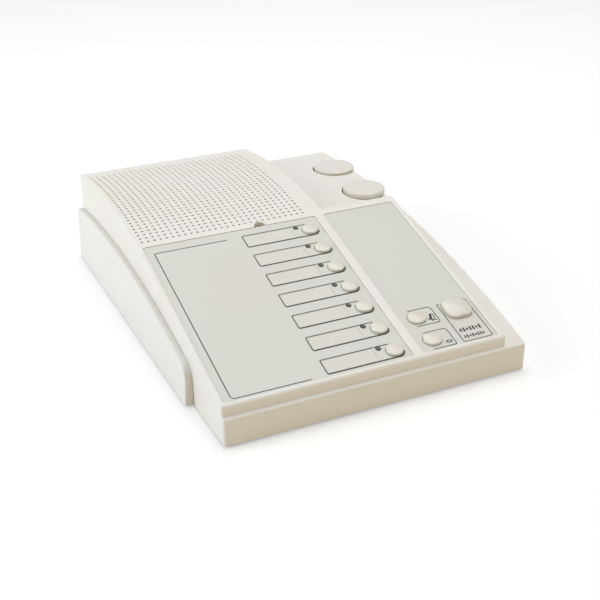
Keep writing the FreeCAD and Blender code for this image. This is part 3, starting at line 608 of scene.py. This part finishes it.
@dataclass(frozen=True)
class BoardLaminate:
    """Paper laminate board: brown resin with fibre clouds, and tinned spots where parts are soldered."""

    name: str
    colour: Colour
    resin: Colour
    solder: Colour
    fibres: Clouds = Clouds(size=0.004, detail=5.0, low=0.35, high=0.7, stretch=(0.4, 1.0, 1.0))
    spot_pitch: float = 0.0045
    spot_middle: float = 0.12
    spot_edge: float = 0.2
    spot_depth: float = 0.0001
    smooth: float = 0.28
    rough: float = 0.5

    def make(self) -> bpy.types.Material:
        """Builds the finish.

        Returns:
            Its material.
        """
        recipe = Recipe(self.name)
        colour = recipe.tint(self.colour, self.resin, recipe.clouds(self.fibres))
        spots = recipe.levels(recipe.cells(self.spot_pitch), self.spot_middle, self.spot_edge, 1.0, 0.0)
        colour = recipe.tint(colour, self.solder, spots)
        recipe.emboss(spots, self.spot_depth)
        return recipe.finished(colour, recipe.levels(spots, 0.0, 1.0, self.rough, self.smooth))


@dataclass(frozen=True)
class LampLens:
    """Dark tinted lens of an unlit lamp: a soft gloss over a mottled core."""

    name: str
    colour: Colour
    core: Colour
    mottle: Clouds = Clouds(size=0.0008, detail=2.0, low=0.4, high=0.65)
    ripple: Relief = Relief(size=0.0006, depth=0.000004)
    rubbed: Clouds = Clouds(size=0.001, detail=3.0)
    smooth: float = 0.38
    rough: float = 0.52

    def make(self) -> bpy.types.Material:
        """Builds the finish.

        Returns:
            Its material.
        """
        recipe = Recipe(self.name)
        colour = recipe.tint(self.colour, self.core, recipe.clouds(self.mottle))
        recipe.roughen(self.ripple)
        recipe.fix(Coat_Weight=0.1, Coat_Roughness=0.3, IOR=1.5)
        return recipe.finished(colour, recipe.clouds(self.rubbed, self.rough, self.smooth))


@dataclass(frozen=True)
class ScreenInk:
    """Screen-printed ink: a thin dull film whose screen shows, worn paler in places."""

    name: str
    colour: Colour
    worn: Colour
    wear: Clouds = Clouds(size=0.003, detail=5.0, low=0.48, high=0.8)
    wear_share: float = 0.7
    screen_pitch: float = 0.00012
    screen_depth: float = 0.000004
    rubbed: Clouds = Clouds(size=0.0015, detail=2.0)
    smooth: float = 0.48
    rough: float = 0.66

    def make(self) -> bpy.types.Material:
        """Builds the finish.

        Returns:
            Its material.
        """
        recipe = Recipe(self.name)
        colour = recipe.tint(self.colour, self.worn, recipe.clouds(self.wear, self.wear_share))
        recipe.emboss(recipe.cells(self.screen_pitch), self.screen_depth)
        return recipe.finished(colour, recipe.clouds(self.rubbed, self.rough, self.smooth))


Finish = (
    MouldedPlastic | PlateSheet | PlatedMetal | SoftRubber | PressedFibre | DarkCore | BoardLaminate
    | LampLens | ScreenInk
)

# The colour of the plastics' specks, and of the painted shade in their corners and gaps
CORNER_SHADE_AND_DUST = shade(172, 161, 132)

COVER = MouldedPlastic(
    "ivory_cover", shade(237, 235, 230), shade(230, 219, 193), CORNER_SHADE_AND_DUST, yellowing=0.24, corner_shade_and_dirt=0.1
)
TRAY = MouldedPlastic(
    "ivory_tray", shade(234, 233, 230), shade(228, 219, 198), CORNER_SHADE_AND_DUST, yellowing=0.2, corner_shade_and_dirt=0.1
)
KEYS = MouldedPlastic(
    "key_ivory", shade(224, 221, 212), shade(219, 212, 194), CORNER_SHADE_AND_DUST,
    roughness=0.28, grain=Grain.POLISHED, corner_shade_and_dirt=0.2, coat=0.2,
)
KNOBS = MouldedPlastic(
    "knob_ivory", shade(230, 228, 221), shade(222, 214, 196), CORNER_SHADE_AND_DUST,
    roughness=0.3, grain=Grain.SATIN, corner_shade_and_dirt=0.15,
)
PLATES = PlateSheet(
    "plate_grey", shade(216, 216, 208), shade(210, 215, 206), shade(219, 213, 205), shade(170, 164, 148)
)
STRIPS = PressedFibre("strip_card", shade(229, 227, 219), shade(220, 216, 205), depth=0.00001)
SWITCHES = MouldedPlastic(
    "switch_black", shade(44, 44, 46), shade(62, 58, 52), shade(96, 90, 80),
    roughness=0.5, grain=Grain.SATIN,
)
PLUNGERS = MouldedPlastic(
    "plunger_red", shade(186, 92, 80), shade(170, 96, 74), shade(110, 70, 60),
    roughness=0.4, grain=Grain.SATIN,
)
TERMINALS = MouldedPlastic("terminal_green", shade(92, 146, 112), shade(104, 140, 100), shade(60, 70, 56))
EPOXY = MouldedPlastic("chip_black", shade(38, 38, 40), shade(50, 50, 50), shade(84, 80, 74), roughness=0.55)
LAMPS = LampLens("lamp_lens", shade(62, 55, 50), shade(78, 70, 64))
INK = ScreenInk("plate_ink", shade(38, 36, 36), shade(78, 75, 70))
BOARDS = BoardLaminate("board_brown", shade(176, 142, 92), shade(150, 112, 66), shade(190, 190, 186))
FEET = SoftRubber("foot_rubber", shade(52, 52, 52), shade(92, 90, 86))
GROMMET = SoftRubber("grommet_rubber", shade(46, 46, 47), shade(84, 82, 80), roughness=0.62)
SLEEVE = SoftRubber("lead_sleeve", shade(150, 152, 156), shade(176, 176, 174), roughness=0.55)
ZINC = PlatedMetal("zinc_steel", shade(206, 206, 200), shade(150, 146, 132))
BASKET = PlatedMetal("basket_steel", shade(198, 200, 203), shade(142, 142, 138), roughness=0.4)
POTS = PlatedMetal("pot_metal", shade(200, 200, 198), shade(150, 148, 140))
BRASS = PlatedMetal("nut_brass", shade(208, 190, 138), shade(150, 128, 82), roughness=0.3)
CANS = PlatedMetal(
    "can_aluminium", shade(212, 214, 216), shade(164, 164, 164), roughness=0.3, streaks=(1.0, 1.0, 0.05)
)
CORE = DarkCore("core_steel", shade(70, 70, 74), shade(126, 124, 122))
FERRITE = DarkCore("magnet_ferrite", shade(52, 52, 54), shade(92, 90, 88), layers=(1.0, 1.0, 1.0))
CONE = PressedFibre("cone_paper", shade(104, 99, 90), shade(126, 120, 108), fibre=0.0008, depth=0.00005)
FELT = PressedFibre("gasket_felt", shade(150, 147, 138), shade(170, 166, 156), fibre=0.0006, depth=0.00008)


class Palette:
    """The finishes that have been made, one material for each."""

    def __init__(self) -> None:
        """Starts with no finish made."""
        self.made: dict[Finish, bpy.types.Material] = {}

    def of(self, finish: Finish) -> bpy.types.Material:
        """Gives a finish's material, made the first time it is asked for.

        Args:
            finish: The finish.

        Returns:
            Its material.
        """
        if finish not in self.made:
            self.made[finish] = finish.make()
        return self.made[finish]

    def dress(self, finish: Finish, *names: str) -> None:
        """Gives parts of the frame their finish.

        Args:
            finish: The finish.
            names: The parts' names.
        """
        for name in names:
            mesh = frame["nodes"][name].data
            mesh.materials.clear()
            mesh.materials.append(self.of(finish))
            log.info("dressed %s in %s", name, finish.name)


palette = Palette()


# Printing on the plates


@dataclass(frozen=True)
class Window:
    """A stretch of the deck in millimetres, from left to right and up the slope from front to rear."""

    left: float
    right: float
    front: float
    rear: float

    def holds(self, place: Vector) -> bool:
        """Says whether a place is inside."""
        return self.left < place.x < self.right and self.front < place.y < self.rear


def all_round(radius: float) -> Radii:
    """Gives the four corners of a face one radius."""
    return (radius, radius, radius, radius)


@dataclass(frozen=True)
class Deck:
    """The sloping key deck, whose places are millimetres from the cover's left side and front face.

    The slope comes from the way the keys travel, and the deck's place from the corner of the left plate.
    """

    plate_left: float = 2.05
    plate_front: float = 4.75
    plate_face: float = -0.3
    plate_thickness: float = 1.1

    def transform(self) -> Matrix:
        """Turns deck places in millimetres into places in the frame.

        Returns:
            The matrix for it.
        """
        travel = next(j for j in frame["record"]["behaviour"]["joints"] if j["name"] == "talk_key_press")
        slope = math.asin(travel["axis"][1])
        low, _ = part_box("left_fascia")
        corner = Vector((low.x, low.y, low.z + self.plate_thickness * MM * math.cos(slope)))
        turn = Matrix.Rotation(slope, 4, "X") @ Matrix.Scale(MM, 4)
        start = turn @ Vector((self.plate_left, self.plate_front, self.plate_face))
        return Matrix.Translation(corner - start) @ turn


@dataclass(frozen=True)
class Printing:
    """How the marks are printed: the thickness of the ink, its depth in the plate, and its curves."""

    deck: Deck = field(default_factory=Deck)
    film: float = 0.05
    key_in: float = 0.02
    curve_steps: int = 6
    weld: float = 0.001
    cut_reach: float = 0.0001

    def finish(self, name: str, flat: bmesh.types.BMesh) -> None:
        """Gives flat artwork the thickness of its ink, lays it on the plate and fixes it to the case.

        Args:
            name: The piece's name.
            flat: The artwork on the plane of the deck, in millimetres. It is used up.
        """
        bmesh.ops.remove_doubles(flat, verts=flat.verts[:], dist=self.weld)
        bmesh.ops.recalc_face_normals(flat, faces=flat.faces[:])
        raised = bmesh.ops.extrude_face_region(flat, geom=flat.faces[:], use_keep_orig=True)
        lifted = [item for item in raised["geom"] if isinstance(item, bmesh.types.BMVert)]
        bmesh.ops.translate(flat, verts=lifted, vec=(0.0, 0.0, self.film))
        bmesh.ops.recalc_face_normals(flat, faces=flat.faces[:])
        lay = Matrix.Translation((0.0, 0.0, self.deck.plate_face - self.key_in))
        bmesh.ops.transform(flat, matrix=self.deck.transform() @ lay, verts=flat.verts[:])
        mesh = bpy.data.meshes.new(name)
        flat.to_mesh(mesh)
        flat.free()
        piece = bpy.data.objects.new(name, mesh)
        bpy.context.scene.collection.objects.link(piece)
        mesh.materials.append(palette.of(INK))
        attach(piece, STILL_BODY)
        log.info("printed %s with %d faces", name, len(mesh.polygons))

    def plate(self, art: bmesh.types.BMesh, area: Window, radii: Radii) -> bmesh.types.BMFace:
        """Adds a flat face with rounded corners.

        Args:
            art: The artwork.
            area: What the face covers.
            radii: The corner radii at front left, front right, rear right and rear left.

        Returns:
            The face.
        """
        places = (
            (area.left, area.front), (area.right, area.front), (area.right, area.rear), (area.left, area.rear)
        )
        earlier = set(art.faces)
        corners = [art.verts.new((*place, 0.0)) for place in places]
        art.faces.new(corners)
        for corner, radius in zip(corners, radii):
            if radius > 0.0:
                bmesh.ops.bevel(
                    art, geom=[corner], offset=radius, offset_type="OFFSET", affect="VERTICES",
                    segments=self.curve_steps, profile=0.5, material=-1,
                )
        return next(face for face in art.faces if face not in earlier)

    def frame_line(
        self, art: bmesh.types.BMesh, area: Window, radii: Radii, line: float, heavier: float = 0.0
    ) -> None:
        """Adds the outline of a box, with a heavier front line where that is asked for.

        Args:
            art: The artwork.
            area: The outside of the box.
            radii: The corner radii at front left, front right, rear right and rear left.
            line: The width of the line.
            heavier: How much wider the front line is.
        """
        face = self.plate(art, area, radii)
        bmesh.ops.inset_region(art, faces=[face], thickness=line, use_boundary=True, use_even_offset=True)
        middle = (area.front + area.rear) / 2
        near = [vert for vert in face.verts if vert.co.y < middle]
        bmesh.ops.translate(art, verts=near, vec=(0.0, heavier, 0.0))
        bmesh.ops.delete(art, geom=[face], context="FACES")

    def clear(self, art: bmesh.types.BMesh, gap: Window) -> None:
        """Cuts a gap out of the artwork.

        Args:
            art: The artwork.
            gap: What is left bare.
        """
        for side in (gap.left, gap.right):
            self.slit(art, (side, 0.0, 0.0), (1.0, 0.0, 0.0))
        for end in (gap.front, gap.rear):
            self.slit(art, (0.0, end, 0.0), (0.0, 1.0, 0.0))
        inside = [face for face in art.faces if gap.holds(face.calc_center_median())]
        bmesh.ops.delete(art, geom=inside, context="FACES")

    def slit(self, art: bmesh.types.BMesh, place: Place, across: Direction) -> None:
        """Cuts the artwork along a straight line and keeps both sides.

        Args:
            art: The artwork.
            place: A place on the line.
            across: The direction square to the line.
        """
        everything = art.verts[:] + art.edges[:] + art.faces[:]
        bmesh.ops.bisect_plane(art, geom=everything, dist=self.cut_reach, plane_co=place, plane_no=across)


@dataclass(frozen=True)
class CallRows:
    """The seven printed boxes beside the call keys, each curling round the front of its key."""

    count: int = 7
    pitch: float = 16.9
    left: float = 56.6
    right: float = 100.95
    front: float = 6.3
    height: float = 10.6
    rear_line_end: float = 94.9
    curl_end: float = 3.7
    curl_radius: float = 4.1
    corner: float = 1.1
    line: float = 0.56
    heavier: float = 0.32

    def print_on(self, printing: Printing) -> None:
        """Prints one piece for each row.

        Args:
            printing: How the marks are printed.
        """
        for row in range(self.count):
            front = self.front + row * self.pitch
            rear = front + self.height
            art = bmesh.new()
            box = Window(self.left, self.right, front, rear)
            radii = (self.corner, self.curl_radius, 0.0, self.corner)
            printing.frame_line(art, box, radii, self.line, self.heavier)
            curl_rear = front + self.curl_end
            beyond = self.right + self.pitch
            printing.clear(art, Window(self.rear_line_end, beyond, curl_rear, rear + self.line))
            printing.finish(f"row_{row + 1}_print", art)


@dataclass(frozen=True)
class ListBracket:
    """The long bracket printed round the space left of the rows, open to the right."""

    area: Window = Window(6.4, 60.0, 5.9, 117.6)
    line_end: float = 48.0
    front_radius: float = 2.4
    rear_radius: float = 0.9
    line: float = 0.52

    def print_on(self, printing: Printing) -> None:
        """Prints the bracket.

        Args:
            printing: How the marks are printed.
        """
        art = bmesh.new()
        printing.frame_line(art, self.area, (self.front_radius, 0.0, 0.0, self.rear_radius), self.line)
        margin = self.line * PAST_LINE
        open_side = Window(
            self.line_end, self.area.right + margin, self.area.front - margin, self.area.rear + margin
        )
        printing.clear(art, open_side)
        printing.finish("list_bracket_print", art)


@dataclass(frozen=True)
class KeyBox:
    """One printed box that is open to the left, with where its rear line and its front line start."""

    name: str
    area: Window
    rear_start: float
    front_start: float


@dataclass(frozen=True)
class FunctionBoxes:
    """The boxes printed round the bell, end and talk keys, each open where its key stands."""

    line: float = 0.48
    boxes: tuple[KeyBox, ...] = (
        KeyBox("bell_box_print", Window(109.5, 129.6, 22.95, 35.3), rear_start=115.9, front_start=115.4),
        KeyBox("end_box_print", Window(109.5, 129.5, 5.6, 18.2), rear_start=116.0, front_start=115.4),
    )
    rear_radius: float = 2.4
    front_radius: float = 1.2
    talk: Window = Window(133.25, 151.0, 5.6, 35.5)
    talk_radius: float = 1.5
    talk_hook: float = 1.7

    def print_on(self, printing: Printing) -> None:
        """Prints the three boxes.

        Args:
            printing: How the marks are printed.
        """
        margin = self.line * PAST_LINE
        for box in self.boxes:
            area = box.area
            art = bmesh.new()
            printing.frame_line(art, area, (0.0, self.front_radius, self.rear_radius, 0.0), self.line)
            middle = (area.front + area.rear) / 2
            printing.clear(art, Window(area.left - margin, box.front_start, area.front - margin, middle))
            printing.clear(art, Window(area.left - margin, box.rear_start, middle, area.rear + margin))
            printing.finish(box.name, art)
        art = bmesh.new()
        printing.frame_line(art, self.talk, all_round(self.talk_radius), self.line)
        rear = Window(
            self.talk.left + self.talk_hook, self.talk.right - self.talk_hook,
            self.talk.rear - margin, self.talk.rear + margin,
        )
        printing.clear(art, rear)
        printing.finish("talk_box_print", art)


@dataclass(frozen=True)
class BellMark:
    """A plain bell beside the bell key: its left half filled, its right half in outline."""

    centre: tuple[float, float] = (126.7, 27.8)
    lean: float = -18.0
    height: float = 4.8
    shoulder_half: float = 1.4
    mouth_half: float = 2.6
    flare: float = 1.4
    shoulder_round: float = 0.98
    line: float = 0.5
    clapper_radius: float = 0.5
    clapper_drop: float = 0.6
    clapper_steps: int = 16
    line_corners: int = 4

    def print_on(self, printing: Printing) -> None:
        """Prints the bell.

        Args:
            printing: How the marks are printed.
        """
        foot = -self.height / 2
        art = bmesh.new()
        mouth, shoulder = self.mouth_half, self.shoulder_half
        outline = (
            (-mouth, 0.0), (mouth, 0.0), (shoulder, self.flare),
            (shoulder, self.height), (-shoulder, self.height), (-shoulder, self.flare),
        )
        corners = [art.verts.new((across, foot + up, 0.0)) for across, up in outline]
        art.faces.new(corners)
        crown = [corner for corner in corners if corner.co.y > 0.0]
        bmesh.ops.bevel(
            art, geom=crown, offset=shoulder * self.shoulder_round, offset_type="OFFSET", affect="VERTICES",
            segments=printing.curve_steps, profile=0.5, material=-1,
        )
        body = [max(art.faces, key=lambda face: face.calc_area())]
        bmesh.ops.inset_region(art, faces=body, thickness=self.line, use_boundary=True, use_even_offset=True)
        printing.slit(art, (0.0, 0.0, 0.0), (1.0, 0.0, 0.0))
        right_half = Window(0.0, mouth, foot, -foot)
        broad = [face for face in art.faces if len(face.verts) > self.line_corners]
        inner = [face for face in broad if right_half.holds(face.calc_center_median())]
        bmesh.ops.delete(art, geom=inner, context="FACES")
        clapper = Matrix.Translation((0.0, foot - self.clapper_radius * self.clapper_drop, 0.0))
        bmesh.ops.create_circle(
            art, cap_ends=True, radius=self.clapper_radius, segments=self.clapper_steps, matrix=clapper
        )
        place = Matrix.Translation((*self.centre, 0.0)) @ Matrix.Rotation(math.radians(self.lean), 4, "Z")
        bmesh.ops.transform(art, matrix=place, verts=art.verts[:])
        printing.finish("bell_mark_print", art)


@dataclass(frozen=True)
class SoundMark:
    """A plain sound wave: a row of bars that swell and fade."""

    name: str
    left: float
    middle: float
    length: float
    height: float
    bar: float
    swings: float
    gap_share: float = 0.7
    least: float = 0.42
    rounding: float = 0.25

    def print_on(self, printing: Printing) -> None:
        """Prints the bars.

        Args:
            printing: How the marks are printed.
        """
        art = bmesh.new()
        pitch = self.bar * (1.0 + self.gap_share)
        count = int(self.length / pitch)
        for number in range(count):
            start = self.left + number * pitch
            swing = abs(math.sin(math.pi * self.swings * (number + 0.5) / count))
            reach = self.height / 2 * (self.least + (1.0 - self.least) * swing)
            bar = Window(start, start + self.bar, self.middle - reach, self.middle + reach)
            printing.plate(art, bar, all_round(self.bar * self.rounding))
        printing.finish(self.name, art)


@dataclass(frozen=True)
class EndMark:
    """A short plain bar in outline beside the end key."""

    area: Window = Window(124.6, 127.9, 7.8, 9.7)
    corner: float = 0.6
    line: float = 0.6

    def print_on(self, printing: Printing) -> None:
        """Prints the bar.

        Args:
            printing: How the marks are printed.
        """
        art = bmesh.new()
        printing.frame_line(art, self.area, all_round(self.corner), self.line)
        printing.finish("end_mark_print", art)


# Sub-assemblies


@dataclass(frozen=True)
class Case:
    """The cover and the tray it stands on, with the feet, the screws and the cable inlet."""

    cover: str = "upper_cover"
    tray: str = "base_tray"

    def build(self) -> None:
        """Dresses the case."""
        palette.dress(COVER, self.cover)
        palette.dress(TRAY, self.tray)
        palette.dress(FEET, "rubber_feet")
        palette.dress(GROMMET, "inlet_grommet")
        palette.dress(ZINC, "case_screws")


@dataclass(frozen=True)
class Plates:
    """The two plates on the deck with their printing, name strips and lamps."""

    printing: Printing = field(default_factory=Printing)
    talk_sign: SoundMark = SoundMark(
        "talk_mark_print", left=135.5, middle=13.9, length=13.8, height=3.1, bar=1.1, swings=2.6
    )
    listen_sign: SoundMark = SoundMark(
        "listen_mark_print", left=135.4, middle=9.0, length=13.4, height=2.5, bar=0.92, swings=3.4
    )

    def build(self) -> None:
        """Dresses the plates and prints on them."""
        palette.dress(PLATES, "left_fascia", "right_fascia")
        palette.dress(STRIPS, "name_strips")
        palette.dress(LAMPS, "call_lamps")
        boxes = (CallRows(), ListBracket(), FunctionBoxes())
        for mark in (*boxes, BellMark(), self.talk_sign, self.listen_sign, EndMark()):
            mark.print_on(self.printing)


@dataclass(frozen=True)
class KeyBank:
    """The ten keys, each with its plunger, and the board of switches under them."""

    call_keys: int = 7
    function_keys: tuple[str, ...] = ("bell_key", "end_key", "talk_key")

    def build(self) -> None:
        """Dresses the keys and what they press."""
        caps = [f"call_key_{number + 1}" for number in range(self.call_keys)] + list(self.function_keys)
        palette.dress(KEYS, *caps)
        palette.dress(PLUNGERS, *(f"{cap}_plunger" for cap in caps))
        palette.dress(SWITCHES, "call_switches", "function_switches")
        palette.dress(BOARDS, "key_board")
        palette.dress(ZINC, "key_board_screws")


@dataclass(frozen=True)
class Controls:
    """The two thumb knobs and the potentiometers they turn."""

    ends: tuple[str, ...] = ("front", "rear")

    def build(self) -> None:
        """Dresses both controls."""
        for end in self.ends:
            palette.dress(KNOBS, f"{end}_knob")
            palette.dress(POTS, f"{end}_pot_body", f"{end}_pot_shaft")
        palette.dress(BRASS, "pot_nuts")


@dataclass(frozen=True)
class Sound:
    """The loudspeaker under the grille and the microphone behind its port."""

    def build(self) -> None:
        """Dresses the loudspeaker and the microphone."""
        palette.dress(CONE, "speaker_cone")
        palette.dress(FELT, "speaker_gasket")
        palette.dress(BASKET, "speaker_basket", "speaker_clips")
        palette.dress(FERRITE, "speaker_magnet")
        palette.dress(ZINC, "speaker_clip_screws")
        palette.dress(CANS, "microphone_capsule")
        palette.dress(GROMMET, "microphone_grommet")
        palette.dress(SLEEVE, "speaker_leads")


@dataclass(frozen=True)
class Electronics:
    """The main board and what is soldered to it."""

    def build(self) -> None:
        """Dresses the electronics."""
        palette.dress(BOARDS, "main_board")
        palette.dress(ZINC, "main_board_screws", "terminal_screws")
        palette.dress(EPOXY, "chips", "ribbon_socket")
        palette.dress(CANS, "capacitors")
        palette.dress(CORE, "transformer")
        palette.dress(TERMINALS, "terminal_block")
        palette.dress(SLEEVE, "ribbon")


# Studio


@dataclass(frozen=True)
class Floor:
    """A pale floor that looks white where light reaches it and keeps the soft shadow."""

    half: float = 6.0
    squares: int = 4
    colour: Colour = (0.82, 0.82, 0.82)
    scuffed: Colour = (0.7, 0.7, 0.7)
    scuffs: Clouds = Clouds(size=0.5, detail=2.0)
    scuff_share: float = 0.02
    lift: float = 0.34

    def build(self) -> None:
        """Lays the floor under the feet."""
        level = bmesh.new()
        bmesh.ops.create_grid(level, x_segments=self.squares, y_segments=self.squares, size=self.half)
        mesh = bpy.data.meshes.new("studio_floor")
        level.to_mesh(mesh)
        level.free()
        mesh.materials.append(self.surface())
        floor = bpy.data.objects.new("studio_floor", mesh)
        bpy.context.scene.collection.objects.link(floor)

    def surface(self) -> bpy.types.Material:
        """Makes the floor's surface: matt, and lifted to white for the eye and for reflections.

        Returns:
            Its material.
        """
        recipe = Recipe("floor_white")
        recipe.fix(Specular_IOR_Level=0.0, Roughness=1.0, Emission_Color=self.colour)
        lift = recipe.share(seen_directly(recipe.tree), self.lift)
        recipe.link(lift, recipe.shader.inputs["Emission Strength"])
        scuffs = recipe.clouds(self.scuffs, self.scuff_share)
        return recipe.finished(recipe.tint(self.colour, self.scuffed, scuffs))


def seen_directly(tree: bpy.types.NodeTree) -> Socket:
    """Tells what sees a surface.

    Args:
        tree: The node tree of the surface.

    Returns:
        1 for the eye, a reflection or clear glass, and 0 for a bounce of light.
    """
    path = tree.nodes.new("ShaderNodeLightPath")
    seen = path.outputs["Is Camera Ray"]
    for name in ("Is Glossy Ray", "Is Transmission Ray"):
        either = tree.nodes.new("ShaderNodeMath")
        either.operation = "MAXIMUM"
        tree.links.new(seen, either.inputs[0])
        tree.links.new(path.outputs[name], either.inputs[1])
        seen = either.outputs[0]
    return seen


@dataclass(frozen=True)
class SoftBox:
    """One soft lamp of the studio."""

    name: str
    place: Place
    size: float
    power: float
    colour: Colour

    def build(self) -> None:
        """Hangs the lamp and aims it at the set."""
        lamp = bpy.data.lights.new(self.name, "AREA")
        lamp.shape = "SQUARE"
        lamp.size = self.size
        lamp.energy = self.power
        lamp.color = self.colour
        holder = bpy.data.objects.new(self.name, lamp)
        bpy.context.scene.collection.objects.link(holder)
        holder.location = self.place
        holder.rotation_euler = (-Vector(self.place)).to_track_quat("-Z", "Y").to_euler()


@dataclass(frozen=True)
class Studio:
    """The light: soft boxes at the left, overhead and low in front, in a plain white room."""

    room: float = 0.47
    white: float = 1.0
    lamps: tuple[SoftBox, ...] = (
        SoftBox("side_box", (-1.2, 0.3, 0.48), size=0.9, power=8.0, colour=(0.96, 0.98, 1.0)),
        SoftBox("top_box", (0.3, 0.25, 1.4), size=1.2, power=10.4, colour=(1.0, 0.99, 0.98)),
        SoftBox("front_box", (0.5, -1.3, 0.4), size=0.7, power=2.7, colour=(1.0, 0.93, 0.84)),
    )

    def build(self) -> None:
        """Sets up the lamps and the room's light."""
        for lamp in self.lamps:
            lamp.build()
        world = bpy.data.worlds.new("white_room")
        world.use_nodes = True
        tree = world.node_tree
        tree.nodes.clear()
        strength = tree.nodes.new("ShaderNodeMapRange")
        strength.inputs["To Min"].default_value = self.room
        strength.inputs["To Max"].default_value = self.white
        tree.links.new(seen_directly(tree), strength.inputs["Value"])
        background = tree.nodes.new("ShaderNodeBackground")
        tree.links.new(strength.outputs["Result"], background.inputs["Strength"])
        output = tree.nodes.new("ShaderNodeOutputWorld")
        tree.links.new(background.outputs["Background"], output.inputs["Surface"])
        bpy.context.scene.world = world
        bpy.context.scene.view_settings.view_transform = "Standard"


@dataclass(frozen=True)
class PhotoCamera:
    """The camera at the photograph's angle: left of the front and above, level but for half a degree."""

    lens: float = 65.92
    azimuth: float = 24.714
    elevation: float = 27.166
    roll: float = -0.4844
    target: Place = (0.0, -0.036, 0.001)
    distance: float = 0.611075
    aside: float = -0.005604
    above: float = 0.017513
    nearest: float = 0.01

    def build(self) -> None:
        """Sets up the camera."""
        azimuth, elevation, roll = (math.radians(a) for a in (self.azimuth, self.elevation, self.roll))
        level = math.cos(elevation)
        back = Vector((-math.sin(azimuth) * level, -math.cos(azimuth) * level, math.sin(elevation)))
        flat_right = (-back).cross(Vector((0.0, 0.0, 1.0))).normalized()
        flat_up = flat_right.cross(-back)
        right = flat_right * math.cos(roll) + flat_up * math.sin(roll)
        up = flat_up * math.cos(roll) - flat_right * math.sin(roll)
        turn = Matrix((right, up, back)).transposed().to_4x4()
        place = Vector(self.target) + back * self.distance + right * self.aside + up * self.above
        lens = bpy.data.cameras.new("photo_camera")
        lens.lens = self.lens
        lens.clip_start = self.nearest
        camera = bpy.data.objects.new("photo_camera", lens)
        camera.matrix_world = Matrix.Translation(place) @ turn
        bpy.context.scene.collection.objects.link(camera)
        bpy.context.scene.camera = camera


def main() -> None:
    """Builds and dresses the set, then lights and frames it."""
    logging.basicConfig(level=logging.INFO, format="%(name)s: %(message)s")
    desk_set = (Case(), Plates(), KeyBank(), Controls(), Sound(), Electronics())
    for part in (*desk_set, Floor(), Studio(), PhotoCamera()):
        log.info("building %s", type(part).__name__)
        part.build()


if __name__ == "__main__":
    main()
